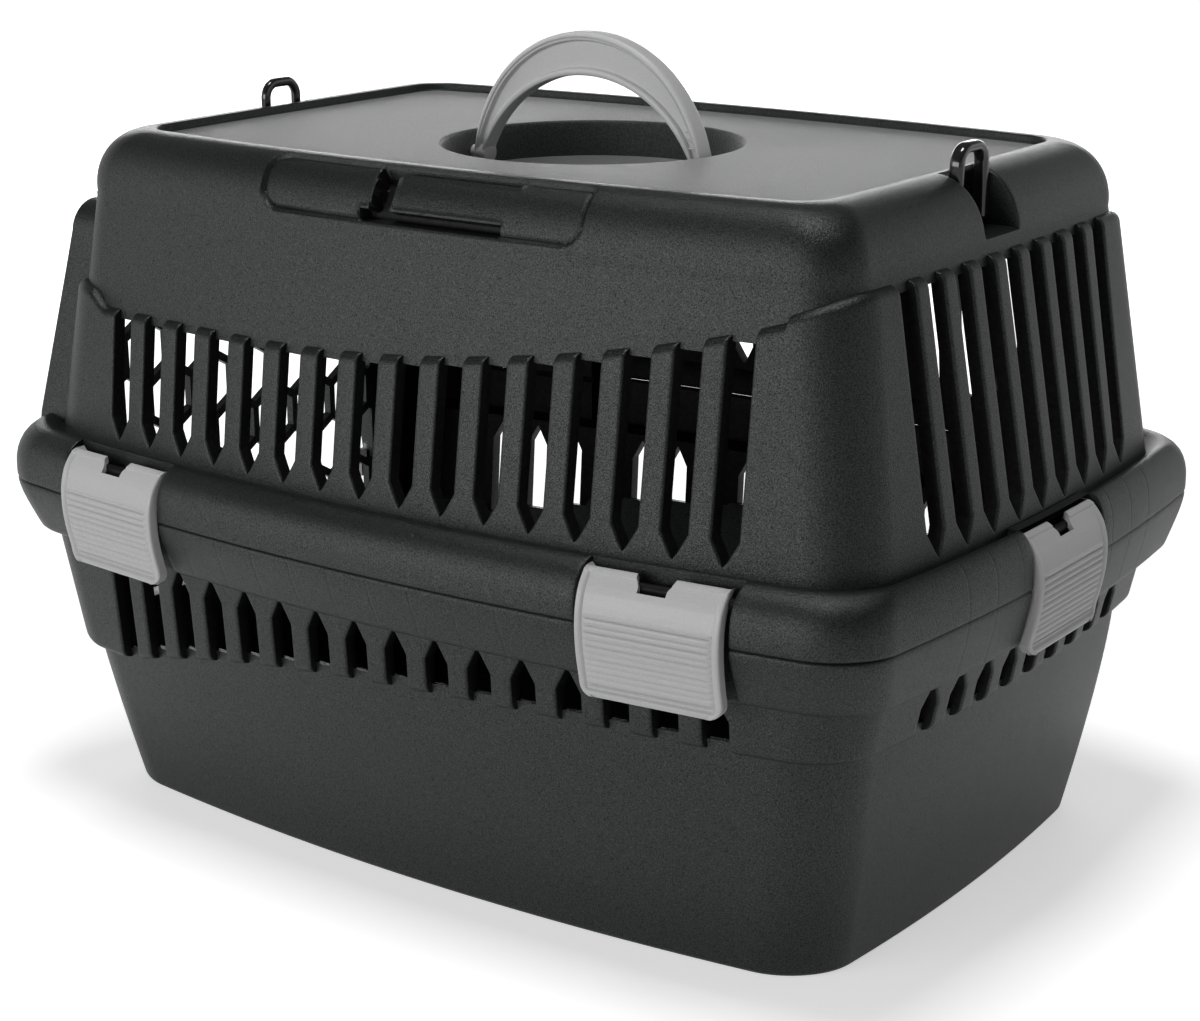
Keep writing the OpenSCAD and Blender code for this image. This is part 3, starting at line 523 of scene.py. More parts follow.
def slotted_band(name, lower, profile, ledge, finishes, body, nodes):
    """A rolled rim and the slotted band beyond it. profile is the roll's (inset, height) line from the
    parting line; ledge is its way back to the wall, as (share of the way, height). The band stands
    4 mm proud of the plain panel, and its bars end past the slots in quarter rounds of 4 mm."""
    side, side_wide = slot_columns(SIDE_C, SIDE_EDGES, X_SIDE)
    end, end_wide = slot_columns(END_C, END_EDGES, Y_END)
    cols = columns(side, end, side_wide, end_wide, CORNER_Q, door_y=Y_DOOR)
    kind, n = cols[0], cols.shape[1]
    way, tip = (-1, APEX_Z) if lower else (1, TIP_Z)
    inset, height = profile[:, 0], profile[:, 1]
    first = len(profile) + len(ledge)
    section, share, z_wall, wall_in = band_section(cols, lower, profile, ledge)
    flat = plan(cols, section, share, X_SIDE)
    along = np.where(kind == SIDE, flat[..., 0], flat[..., 1])
    centres = np.where(kind == SIDE, nearest(along, SIDE_C), nearest(along, END_C))
    rounding = slot_rounding(cols, along, centres, share, z_wall, way, tip)
    recess, past = latch_recess(kind, along, inset, first)
    sink = SINK * np.exp(-((along - centres) / SINK_WIDE) ** 2) * (kind != CORNER) * (past > 2)
    sink[len(profile):] = 0
    shrink = wall_in + rounding + recess + sink
    shrink_a = wall_in + rounding + recess * 0.6 + sink
    outer_s = [section[0], section[1] - shrink_a, section[2] - shrink, np.maximum(section[3] - shrink, 4),
               section[4], section[5]]
    outer = plan(cols, outer_s, share, X_SIDE)
    line_in = np.concatenate([inset, inset[-1] + ledge[:, 0] * 10.5])
    line_z = np.concatenate([height, ledge[:, 1]])
    in_i, in_z = bent(line_in, line_z, way * WALL)
    thick = np.vstack([np.repeat(np.abs(in_i - line_in)[:, None], n, 1),
                       np.full((len(TIP_STEPS) + len(BAR_STEPS), n), PROUD + WALL - 0.1),
                       np.full((len(CAP_ANGLES), n), 6.2)])
    thick[:len(profile)] = np.maximum(thick[:len(profile)], 0.3)
    inner_s = [section[0] + np.vstack([np.repeat((in_z - line_z)[:, None], n, 1), 0 * z_wall]),
               section[1] - thick - recess * 0.6, section[2] - thick - recess,
               np.maximum(section[3] - thick, 4), section[4], section[5]]
    inner = plan(cols, inner_s, share, X_SIDE)
    keep = np.ones((outer.shape[0] - 1, n - 1), bool)
    keep[first + 2:] = ~slot_cells(cols)
    # The inner face and the slots' side walls take the second finish, near black: painted shade where the
    # shell's plastic would lie in shadow.
    points, faces, marks = skin(outer, inner, keep, flip=lower, depth=np.zeros(keep.shape, int), inside=1)
    return add_piece(name, points, faces, finishes, body, nodes, marks)


# the rolls as (inset, height) from the parting line, and the ledges as (share of the way, height)
ROLL_UP = np.array([[1.0, 153.02], [0.35, 153.5], [0.08, 154.2], [0, 155.5], [0.05, 159], [0.22, 162],
                    [0.9, 165.5], [2.0, 168.5], [3.5, 171.2], [5.6, 173.6], [8.1, 175.4], [10.0, 176.15],
                    [11.6, 176.5]])
LEDGE_UP = np.array([[0.18, 176.45], [0.36, 175.9], [0.54, 174.9], [0.72, 173.8], [0.86, 173.1],
                     [0.95, 173.1]])
ROLL_DOWN = np.array([[1.2, 152.98], [0.55, 152.5], [0.3, 151.8], [0.4, 150.5], [0.7, 149], [1.6, 145.5],
                      [3.2, 141], [5.1, 136.2], [7.0, 131.6], [7.9, 129.6], [9.0, 128.5], [10.4, 128.05],
                      [12.0, 128.0]])
LEDGE_DOWN = np.array([[0.15, 128.1], [0.4, 128.3], [0.65, 128.6], [0.85, 128.8], [0.95, 128.9]])


# ---------------------------------------------------------------- lid top and tub
# the belt guide's middle, half length and lower and upper edge
GUIDE_X, GUIDE_HALF, GUIDE_LOW, GUIDE_HIGH = 4.0, 83.5, 288.8, 310.4
# a strap loop's notch in the shoulder: half width, floor height and back wall
NOTCH_HALF, NOTCH_FLOOR, NOTCH_BACK = 14.5, 287.5, 180.2
# the pieces above and below the bands close up towards the corners from here on
LOOSE = (110.0, 30.0)
# the corner posts' inner edges along a side and an end, and the middle of the door's end
POST_X, POST_Y, DOOR_END_X, DOOR_END_Y = 171.0, 89.0, -200.0, 103.0


def box_distance(x, z, cx, cz, hx, hz, r):
    """Distance to a rounded rectangle, negative inside: |max(q, 0)| + min(max(q), 0) - r."""
    qx, qz = np.abs(x - cx) - hx + r, np.abs(z - cz) - hz + r
    return np.hypot(np.maximum(qx, 0), np.maximum(qz, 0)) + np.minimum(np.maximum(qx, qz), 0) - r


def over(z):
    """Length along the shoulder's curve at a height: the sum of hypot(28 cos t, 18 sin t) dt."""
    t = np.linspace(0, math.pi / 2, 91)
    step = np.hypot(28 * np.cos(t), 18 * np.sin(t)) * (t[1] - t[0])
    run = np.concatenate([[0], np.cumsum((step[1:] + step[:-1]) / 2)])
    return np.where(z < SHOULDER_Z, z - SHOULDER_Z, np.interp(z, SHOULDER_Z + SHOULDER_H * np.sin(t), run))


def guide_box(x, s, x0, x1, z0, z1, r):
    s0, s1 = over(np.array([z0, z1]))
    return box_distance(x, s, (x0 + x1) / 2, (s0 + s1) / 2, (x1 - x0) / 2, (s1 - s0) / 2, r)


def guide_depth(x, z):
    """Depth of the belt guide: a groove along its outline, a plate 1 mm deep inside it, a fine raised
    line round the openings, and 8 mm deep in the openings."""
    s = over(z)
    r = np.where((x > 40) & (z > 300), 4.0, 10.0)
    d = guide_box(x, s, GUIDE_X - GUIDE_HALF, GUIDE_X + GUIDE_HALF, GUIDE_LOW, GUIDE_HIGH, r)
    upper = smooth((z - 300) / 8) + smooth((-40 - x) / 30)
    groove = (0.9 + 0.5 * np.minimum(upper, 1)) * np.exp(-((d + 1.0) / 0.8) ** 2)
    depth = 1.0 * smooth((0.6 - d) / 1.0) + groove
    bulge = 1.2 * np.sin(math.pi * np.clip((z - 294.0) / 14.5, 0, 1))
    gap = guide_box(x - bulge, s, -18.0, -8.0, 292.0, 309.4, 0.8)
    low = guide_box(x, s, -23.0, 49.0, 289.6, 293.8, 1.2)
    high = guide_box(x, s, -18.0, 53.0, 308.7, 310.0, 0.8)
    cut = np.minimum(np.minimum(low, high), gap)
    depth = depth - 0.6 * np.exp(-((cut - 1.0) / 0.6) ** 2) * (d < -0.5)
    return depth + 7.0 * smooth((0.35 - cut) / 0.8) * (d < 0.3)


def ring_columns():
    wide = np.linspace(-X_SIDE, X_SIDE, 139)
    coarse = np.concatenate([np.arange(-X_SIDE, -92, 2.9), [96.0 + 2.6 * k for k in range(1, 32)], [X_SIDE]])
    front = np.concatenate([coarse[coarse < -92], np.arange(-91.2, 97.0, 0.8), coarse[coarse > 97.5]])
    half = np.array([0, 2.5, 5, 7.5, 10, 12, 13.3, 14.0, 14.42, 14.5, 14.62, 14.95, 15.5, 16.4, 18, 20.5,
                     24, 27.5])
    rest = np.arange(31, Y_END - 1, 3.0)
    pos = np.concatenate([half, rest, [Y_END]])
    end = np.concatenate([-pos[:0:-1], pos])
    return columns(front, end, front, end, CORNER_Q, side_far=(wide, wide))


def seam(cols, section, slot_line, end_z, band_line, step, door_z):
    """Where a plain panel meets its band: at the slots' ends, step inside the band's own edge at the
    corner posts, and at door_z behind the door's frame."""
    kind, place = cols[0], cols[1]
    x, y = plan(cols, spread(section, cols.shape[1]), 0, X_SIDE)[0, :, :2].T
    z = np.where(kind == SIDE, slot_line(nearest(x, SIDE_C)), end_z)
    z = np.where((kind == CORNER) | ((kind == SIDE) & (np.abs(x) > POST_X)), band_line(x) + step, z)
    z = np.where((kind == END) & (np.abs(place) > POST_Y), end_z + step / 2, z)
    return np.where((x < DOOR_END_X) & (np.abs(y) < DOOR_END_Y), door_z, z)


def notch_columns(cols):
    """The inner wall's columns: those of a notch spread over 17 mm instead of 14.5, the next closer."""
    moved, across = cols.copy(), np.abs(cols[1])
    wide, far = NOTCH_HALF + WALL, 27.5
    wider = np.where(across < NOTCH_HALF, across * wide / NOTCH_HALF,
                     wide + 0.1 + (across - NOTCH_HALF) * (far - wide - 0.1) / (far - NOTCH_HALF))
    moved[1] = moved[2] = np.where((cols[0] == END) & (across < far), np.sign(cols[1]) * wider, cols[1])
    return moved


def cut_notches(cols, outer, inner, rim_row):
    """The strap loops' notches: a floor, then an upright back wall up to the rim."""
    cut = (cols[0] == END) & (np.abs(cols[1]) < NOTCH_HALF)
    for grid, floor, back_x in ((outer, NOTCH_FLOOR, NOTCH_BACK),
                                (inner, NOTCH_FLOOR - WALL, NOTCH_BACK - WALL)):
        above = grid[:, np.argmax(cut), 2]
        rows = np.where((above > floor) & (np.arange(len(above)) < rim_row))[0]
        g = np.linspace(0, 1, len(rows) + 2)[1:-1]
        start = np.abs(grid[rows[0] - 1, cut, 0])
        x = start[None] + (back_x - start[None]) * np.clip(g / 0.45, 0, 1)[:, None]
        up = np.clip((g - 0.45) / 0.55, 0, 1)
        z = floor + (TOP_Z - 0.4 - floor) * up - 0.5 * np.exp(-g / 0.03)
        for k, row in enumerate(rows):
            grid[row, cut, 0] = cols[3, cut] * x[k]
            grid[row, cut, 2] = z[k]


# the panel's rows from the band to the shoulder, and the rim's line as (inset, height over its top)
PANEL_SHARE = np.array([0, 0.03, 0.3, 0.6, 0.85, 1.0])[:, None]
RIM_LINE = np.array([[1.0, 0], [2.1, 0], [2.55, -0.1], [2.85, -0.4], [3.0, -0.9], [3.0, -2.0], [3.1, -2.9],
                     [3.5, -3.4], [4.2, -3.7]])
# how far the shoulder's edge is rounded down, by the distance from a notch
NOTCH_EDGE = ([0, 0.12, 0.45, 1.0, 1.9], [1.0, 0.6, 0.22, 0.05, 0])


def lid_crown(cols, finishes):
    """The plain panel above the slots, the rounded shoulder, the rim and the tray's inner edge."""
    n = cols.shape[1]
    kind, across, sx = cols[0], np.abs(cols[1]), cols[3]
    low = seam(cols, lid_at(np.array([250.0])), lid_top, END_TOP, lid_band_top, -8, 270.0)
    wall = grown(lid_at(low + (SHOULDER_Z - low) * PANEL_SHARE), -PROUD)
    t = np.radians(np.linspace(0, 90, 47)[1:])
    top = shoulder(np.array([math.pi / 2]), SHOULDER_H, 0)
    rim = spread([TOP_Z + RIM_LINE[:, 1], *[np.repeat(v, len(RIM_LINE)) for v in top[1:]]], n)
    section = stack(wall, spread(shoulder(t, SHOULDER_H, 0), n), grown(rim, -RIM_LINE[:, :1]))
    outer = plan(cols, section, 0, X_SIDE, LOOSE)
    # the normal of the shoulder's ellipse, level on the panel and upright on the rim
    bend = np.concatenate([np.zeros(len(PANEL_SHARE)), t, np.full(len(RIM_LINE), math.pi / 2)])
    size = np.hypot(28 * np.cos(bend), 18 * np.sin(bend))
    normal_in, normal_z = 28 * np.cos(bend) / size, 18 * np.sin(bend) / size
    thick = np.concatenate([np.full(len(PANEL_SHARE) + len(t), WALL), np.linspace(2.2, 1.0, 4),
                            np.full(len(RIM_LINE) - 4, 1.0)])
    inner_s = grown(section, -(thick * normal_in)[:, None])
    inner_s[0] = section[0] - (thick * normal_z)[:, None]
    back = len(RIM_LINE) - 5
    for k in (1, 2):
        inner_s[k][-back:] = section[k][-back:] + 1.0
    inner = plan(notch_columns(cols), inner_s, 0, X_SIDE, LOOSE)
    rim_row = len(PANEL_SHARE) + len(t) - 1
    cut_notches(cols, outer, inner, rim_row)
    beside = (kind == END) & (across >= NOTCH_HALF)
    dip = np.where(beside, np.interp(across - NOTCH_HALF, *NOTCH_EDGE), 0)
    dip = dip[None] * smooth((outer[..., 2] - 287) / 2) * (np.arange(len(bend)) < rim_row)[:, None]
    outer[..., 0] -= sx * dip * normal_in[:, None]
    outer[..., 2] -= dip * normal_z[:, None]
    front = (kind == SIDE) & (cols[4] < 0)
    depth = np.where(front[None], guide_depth(outer[..., 0], outer[..., 2]), 0)
    depth[:len(PANEL_SHARE)] = 0
    depth[rim_row:] = 0
    for grid in (outer, inner):
        grid[..., 1] += depth * normal_in[:, None]
        grid[..., 2] -= depth * normal_z[:, None]
    # Cells deep in the belt guide's openings take the second finish, near black: painted shade standing in
    # for the dark inside of real holes.
    deep = (depth[1:] + depth[:-1] > 9.0).astype(int)
    deep = np.maximum(deep, np.roll(deep, -1, 1))
    points, faces, marks = skin(outer, inner, wrap=True, depth=deep)
    return add_piece("lid_crown", points, faces, finishes, "lid", marks=marks)


# the well as (radius, height over a tray at 305): rounded lip, wall, groove at its foot and floor
WELL_R, TRAY_WALL = 70.0, 2.3
WELL_LINE = np.array([[69.4, 305], [68.6, 305.0], [68.0, 304.95], [67.5, 304.7], [67.15, 304.3],
                      [67.0, 303.6], [67, 301], [67, 296], [67, 291], [66.9, 288.6], [66.4, 288.2],
                      [65.7, 288.2], [65.3, 288.6], [64.9, 289.0], [63.5, 289.05], [50, 289.05],
                      [30, 289.05], [14, 289.05]]) - [0, 305]


def lid_tray(cols, finishes):
    """The grained tray floor from the rim to the round well, the well's wall, a fine dark groove at its
    foot and its floor."""
    n = cols.shape[1]
    edge = grown(shoulder(np.array([math.pi / 2]), SHOULDER_H, 0), -2.2)
    outline = plan(cols, spread(edge, n), 0, X_SIDE, LOOSE)[0, :, :2]
    phi = np.arctan2(outline[:, 1], outline[:, 0])
    circle = np.stack([np.cos(phi), np.sin(phi)], -1)
    share = np.array([0, 0.12, 0.25, 0.4, 0.55, 0.7, 0.85, 0.95])[:, None, None]
    profile = WELL_LINE + [0, TRAY_Z]
    inner_i, inner_z = bent(WELL_R - profile[:, 0], profile[:, 1], TRAY_WALL)

    def grid(radii, heights, z_flat):
        flat = outline[None] + (circle * (WELL_R - 0.2) - outline)[None] * share
        flat = np.concatenate([flat, np.full((*flat.shape[:2], 1), z_flat)], -1)
        heights = np.repeat(heights[:, None, None], n, 1)
        well = np.concatenate([circle[None] * radii[:, None, None], heights], -1)
        return np.concatenate([flat, well])

    outer = grid(profile[:, 0], profile[:, 1], TRAY_Z)
    inner = grid(WELL_R - inner_i, inner_z, TRAY_Z - TRAY_WALL)
    points, faces, _ = skin(outer, inner, wrap=True, cap=True)
    return add_piece("lid_tray", points, faces, finishes, "lid")


def tub_belly(cols, finishes):
    """The plain lower panel, curving in to the rounded bottom edge and the floor."""
    n = cols.shape[1]
    high = seam(cols, base_band(np.array([110.0])), base_floor, BASE_FLOOR, base_band_foot, 8, 74.0)
    share = np.concatenate([[0, 0.03], np.linspace(0, 1, 22)[1:]])[:, None]
    z = high + (FOOT_R - high) * share
    t = np.radians([12, 25, 38, 51, 64, 77, 90])
    z_round = FOOT_R * (1 - np.sin(t))
    edge = spread(tub_at(z_round, 0), n)
    edge = grown(edge, -(FOOT_R * (1 - np.cos(t)))[:, None])
    flat = [np.repeat(v[-1:], 2, 0) for v in edge]
    flat = grown(flat, -np.array([[4.0], [30.0]]))
    section = stack(tub_at(z, 0), edge, flat)
    squarer(section, cols, DOOR_BOW * np.clip(section[0] / 100, 0, 1))
    outer = plan(cols, section, 0, X_SIDE, LOOSE)
    inner_s = grown(section, -WALL)
    inner_s[0] = np.maximum(section[0], 3.0)
    inner = plan(cols, inner_s, 0, X_SIDE, LOOSE)
    points, faces, _ = skin(outer, inner, wrap=True, flip=True, cap=True)
    return add_piece("tub_belly", points, faces, finishes, "base")


# stations across an arch, with two close together where the bolt's keeper begins, the keeper's
# stations, and how far the frame's back and the keeper's back stand from the middle
ARCH_TOP = np.array([-70.0, -42.0, -14.0, 14.0, 42.0, 70.0, 87.9, 88.0])
KEEPER, FRAME_BACK, KEEPER_BACK = slice(30, 34), 207.0, 221.0


def arch(half, spring, top, r, foot_half, foot_z, knee=None):
    """An opening's line (y, z) from one foot over the top to the other, with corners of radius r. It
    runs upwards where top is above spring and downwards where it is below; knee bends its legs."""
    leg = np.linspace(0, 1, 13)[:-1, None]
    foot, shoulder_ = np.array([[-foot_half, foot_z]]), np.array([[-half, spring]])
    if knee is None:
        up = foot + (shoulder_ - foot) * leg
    else:
        mid = np.array([knee])
        up = np.where(leg < 0.25, foot + (mid - foot) * leg / 0.25,
                      mid + (shoulder_ - mid) * (leg - 0.25) / 0.75)
    way = 1 if top > spring else -1
    a = np.radians(np.linspace(0, 90, 11))
    turn = np.stack([-half + r - r * np.cos(a), top - way * r + way * r * np.sin(a)], -1)
    left = np.concatenate([up, turn])
    across = np.stack([ARCH_TOP, np.full(len(ARCH_TOP), top)], -1)
    return np.concatenate([left, across, left[::-1] * [-1, 1]])


def door_frame(name, inner, outer, front, finishes, body):
    """A raised frame round the doorway: a rounded section carried along the opening, thinner where the
    door's bolt slides in behind it."""
    across = np.array([0.0, 0.0, 0.01, 0.03, 0.07, 0.14, 0.5, 0.86, 0.93, 0.97, 0.99, 1.0, 1.0, 0.9, 0.1])
    deep = np.array([1.0, 0.12, 0.05, 0.02, 0.004, 0, 0, 0, 0.004, 0.02, 0.05, 0.12, 1.0, 1.0, 1.0])
    y = inner[:, None, 0] + (outer - inner)[:, None, 0] * across
    z = inner[:, None, 1] + (outer - inner)[:, None, 1] * across
    x_front = -front(z)
    back = np.full((len(z), 1), FRAME_BACK)
    back[KEEPER] = KEEPER_BACK
    x = x_front + (-back - x_front) * deep
    points, faces = tube(np.stack([x, y, z], -1))
    return add_piece(name, points, faces, finishes, body)


# ---------------------------------------------------------------- latches, handle and strap loops
# the grip plate's line as (distance out from the rim, height over the parting line), from its top edge
PLATE = np.array([[8.2, 20.9], [7.4, 20.75], [6.6, 20.2], [5.4, 19.1], [4.2, 17.9], [2.4, 15.5], [1.0, 13],
                  [0.1, 10.5], [-0.6, 8], [-1.1, 5.5], [-1.35, 3], [-1.45, 0], [-1.4, -3], [-1.2, -6],
                  [-0.85, -9], [-0.4, -12], [0.2, -15], [0.9, -18], [1.5, -20.5], [2.0, -22.5],
                  [2.3, -24.5], [2.3, -26.5], [2.0, -28.5], [1.6, -29.8]])
# half its width, its lower corners, and the width of its raised border
PLATE_HALF, PLATE_CORNER, BORDER = 31.25, 6.0, 3.2
# the ribs' pitch and rise, and the cleft at the top that shows the hinge bar
RIB_PITCH, RIB_RISE, CLEFT_HALF, CLEFT_FOOT = 2.85, 0.75, 6.25, 15.6
# columns across the plate, and how far the last five turn inwards
EDGE_U, EDGE_IN = np.array([-31.25, -31.25, -31.2, -31.0, -30.65]), np.array([4.6, 1.5, 0.8, 0.35, 0.1])
CORE_U = np.concatenate([np.arange(-30.2, -7.6, 0.75), [-6.9, -6.3, -6.2, -4, 0, 4, 6.2, 6.3, 6.9],
                         np.arange(7.7, 30.3, 0.75)])
# the hinge eyes' places, half widths and radii, and the hook's section
EYES, EYE_HALF, EYE_R = (-18.6, 18.6), np.array([-7, -6.6, 6.6, 7]), np.array([3.2, 3.6, 3.6, 3.2])
HOOK_HALF, HOOK = 14.0, np.array([[3.4, -26], [3.4, -21.4], [11.7, -21.4], [11.7, -22.9], [6.5, -26]])


def grip_plate():
    """A latch's plate: its line swept across, edges turned inwards, a raised border, ribs on the lower
    two thirds as 0.75 |sin|^0.8 of the way down, and a cleft at the top."""
    run = np.concatenate([[0], np.cumsum(np.hypot(*np.diff(PLATE, axis=0).T))])
    s = np.arange(0, run[-1] + 0.01, 0.3)
    line = np.stack([np.interp(s, run, PLATE[:, 0]), np.interp(s, run, PLATE[:, 1])], -1)
    for _ in range(3):
        line[1:-1] = (line[:-2] + 2 * line[1:-1] + line[2:]) / 4
    u = np.concatenate([EDGE_U, CORE_U, -EDGE_U[::-1]])
    turn_in = np.concatenate([EDGE_IN, 0 * CORE_U, EDGE_IN[::-1]])
    left = run[-1] - s
    corner = PLATE_CORNER - np.sqrt(np.maximum(PLATE_CORNER ** 2 - (PLATE_CORNER - left) ** 2, 0))
    half = PLATE_HALF - np.where(left < PLATE_CORNER, corner, 0)
    # the top flares outwards beside the cleft
    flare = 2.2 * smooth((line[:, 1] - 17.0) / 4.0)
    beside = np.where(np.abs(u) > CLEFT_HALF, np.exp(-(np.abs(u) - CLEFT_HALF) / 2.0), 1.0)
    grid_u = u * (half / PLATE_HALF)[:, None]
    grid_u = grid_u + np.sign(u) * flare[:, None] * beside * (np.abs(u) > CLEFT_HALF - 0.1)
    rise = np.interp(left, [0, 0.5, 1.2, 2.5, 3.2, 4], [-0.5, 0.2, 0.8, 0.8, 0.35, 0])[:, None]
    from_side = half[:, None] - np.abs(grid_u)
    border = 0.9 * smooth((BORDER - from_side) / 0.9)
    border = np.maximum(border * smooth(s / 4.0)[:, None], rise)
    ribbed = smooth((from_side - 3.6) / 0.8) * smooth((5.6 - line[:, 1:]) / 0.8)
    ribbed = ribbed * smooth((left[:, None] - 4.0) / 0.8)
    ribs = RIB_RISE * np.abs(np.sin(math.pi * (s[:, None] - 15.0) / RIB_PITCH)) ** 0.8 * ribbed
    lift = border + ribs + 0.5 * smooth((BORDER - s[:, None]) / 0.4)
    tangent = np.gradient(line, axis=0)
    tangent /= np.hypot(*tangent.T)[:, None]
    out_n, out_h = tangent[:, 1:], -tangent[:, :1]
    outer = np.stack([grid_u, line[:, :1] + out_n * lift + turn_in,
                      line[:, 1:] + out_h * lift + 0 * turn_in + PART_Z], -1)
    inner_u = np.sign(grid_u) * np.minimum(np.abs(grid_u), half[:, None] - 2.0 * (turn_in > 0) - 0.2)
    thick = np.where(turn_in > 0.05, 2.0, 2.2)
    inner = np.stack([inner_u, line[:, :1] - out_n * thick * (turn_in < 1.4) + turn_in,
                      line[:, 1:] - out_h * thick + PART_Z], -1)
    mid_u, mid_h = (u[1:] + u[:-1]) / 2, (line[1:, 1] + line[:-1, 1]) / 2
    keep = ~((np.abs(mid_u)[None] < CLEFT_HALF) & (mid_h[:, None] > CLEFT_FOOT))
    return skin(outer, inner, keep)[:2]


def latch(name, place, body, node, finishes):
    """The grip plate with two hinge eyes and a hook, turned to its place (x, y, degrees) at the rim."""
    parts = [grip_plate()]
    a = np.linspace(0, 2 * math.pi, 33)[:-1]
    for c in EYES:
        parts.append(tube(np.stack([np.repeat((c + EYE_HALF)[:, None], 32, 1),
                                    7.5 + EYE_R[:, None] * np.cos(a),
                                    PART_Z + 16 + EYE_R[:, None] * np.sin(a)], -1)))
    ends = np.array([[-HOOK_HALF], [HOOK_HALF]])
    parts.append(tube(np.stack([np.repeat(ends, len(HOOK), 1), np.repeat(HOOK[None, :, 0], 2, 0),
                                PART_Z + np.repeat(HOOK[None, :, 1], 2, 0)], -1)))
    points, faces = merge(*parts)
    x, y, turn = place
    c, sn = math.cos(math.radians(turn)), math.sin(math.radians(turn))
    turned = np.stack([x + points[:, 0] * c - points[:, 1] * sn, y + points[:, 0] * sn + points[:, 1] * c,
                       points[:, 2]], -1)
    return add_piece(name, turned, faces, finishes, body, (node,))


def rim_y(x):
    return RIM_B - SIDE_BOW * (x / RIM_A) ** 2


# the latches' places: x, y and turn in degrees, square to the bowed rim
TURN = math.degrees(math.atan(2 * SIDE_BOW * LATCH_X / RIM_A ** 2))
LATCHES = {"latch_front_door_end": (-LATCH_X, -rim_y(LATCH_X), -TURN),
           "latch_front_closed_end": (LATCH_X, -rim_y(LATCH_X), TURN),
           "latch_back_door_end": (-LATCH_X, rim_y(LATCH_X), 180 + TURN),
           "latch_back_closed_end": (LATCH_X, rim_y(LATCH_X), 180 - TURN),
           "latch_end": (RIM_A, 0.0, 90.0)}


# the handle's bow: outer circle (radius, centre's height), inner circle, and the legs' inner radius
BOW_R, BOW_Z, GRIP_R, GRIP_Z, LEG_R = 62.6, 292.4, 62.0, 274.0, 58.5
# half of its section as (depth in from the outer line, half thickness): flange, groove and web, and the
# inner lip from the web to the inner line
FLANGE = np.array([[0, 0], [0, 2.4], [0.15, 3.6], [0.55, 4.5], [1.1, 4.9], [1.8, 5.0], [2.3, 4.85],
                   [2.55, 4.3], [2.75, 4.2], [3.0, 4.45], [3.5, 4.4], [3.9, 3.6], [4.1, 2.4], [4.5, 2.1]])
LIP = np.array([[4.0, 2.1], [3.4, 2.3], [3.1, 3.4], [2.8, 4.3], [2.2, 4.7], [1.2, 4.7], [0.5, 4.4],
                [0.1, 3.6], [0, 2.4], [0, 0]])
# a pivot eye and its stub as (place outwards, radius) about the pivot's height
EYE_LINE = np.array([[56.2, 3.6], [56.5, 4.6], [57.1, 5.0], [62.0, 5.0], [62.6, 4.6], [62.8, 4.4],
                     [63.0, 4.4], [63.4, 3.9], [63.4, 3.0], [70.3, 3.0], [70.5, 2.6]])
EYE_Z, HANDLE_SHIFT = 297.5, 1.2
# three ridges on a leg: their heights, and a ridge's outline as (side, way in from it, half height)
RIDGES = (309, 312.4, 315.8)
RIDGE = np.array([[-1, 0, 0.0], [-1, 0.4, 0.5], [1, -0.4, 0.5], [1, 0, 0.0], [1, -0.4, -0.5],
                  [-1, 0.4, -0.5]])


def carry_handle(finishes):
    """A crescent bow between two circles, swept along the outer one. Its section has a rounded outer
    flange with a fine groove, a recessed web and a raised inner lip."""
    a = np.radians(np.linspace(-3.5, 183.5, 97))
    direction = np.stack([np.cos(a), np.sin(a)], -1)
    outer = direction * BOW_R + [0, BOW_Z]
    # where the line from the outer circle's centre meets the inner circle
    b = direction[:, 1] * (BOW_Z - GRIP_Z)
    reach = -b + np.sqrt(np.maximum(b * b - ((BOW_Z - GRIP_Z) ** 2 - GRIP_R ** 2), 0))
    length = BOW_R - np.minimum(reach, LEG_R)
    k = np.minimum(1, length / 11.0)[:, None]
    depth = np.concatenate([FLANGE[None, :, 0] * k, length[:, None] - LIP[None, :, 0] * k], 1)
    half = np.concatenate([FLANGE[None, :, 1] + 0 * k, LIP[None, :, 1] + 0 * k], 1)
    depth = np.concatenate([depth, depth[:, -2:0:-1]], 1)
    half = np.concatenate([half, -half[:, -2:0:-1]], 1)
    parts = [tube(np.stack([outer[:, None, 0] - direction[:, None, 0] * depth, half,
                            outer[:, None, 1] - direction[:, None, 1] * depth], -1))]
    turn = np.linspace(0, 2 * math.pi, 49)[:-1]
    for s in (-1, 1):
        parts.append(tube(np.stack([np.repeat(s * EYE_LINE[:, :1], 48, 1), EYE_LINE[:, 1:] * np.cos(turn),
                                    EYE_Z + EYE_LINE[:, 1:] * np.sin(turn)], -1)))
    for j, c in enumerate(RIDGES):
        across = (RIDGE[:, 0] * (4.0 - 0.3 * j) + RIDGE[:, 1]) * 1.15
        x = np.sqrt(BOW_R ** 2 - (c - BOW_Z) ** 2)
        ends = np.array([[x - 5.4], [x - 1.0]])
        parts.append(tube(np.stack([ends + 0 * across, across + 0 * ends, c + RIDGE[:, 2] + 0 * ends], -1)))
    points, faces = merge(*parts)
    return add_piece("carry_handle", points - [HANDLE_SHIFT, 0, 0], faces, finishes, "handle",
                     ("handle",))


# a strap loop: its place, its bar's height, half its width, its corners and its height over the bar
LOOP_X, LOOP_PIVOT, LOOP_HALF, LOOP_CORNER, LOOP_HIGH = 185.6, 291.5, 10.5, 7.0, 29.0


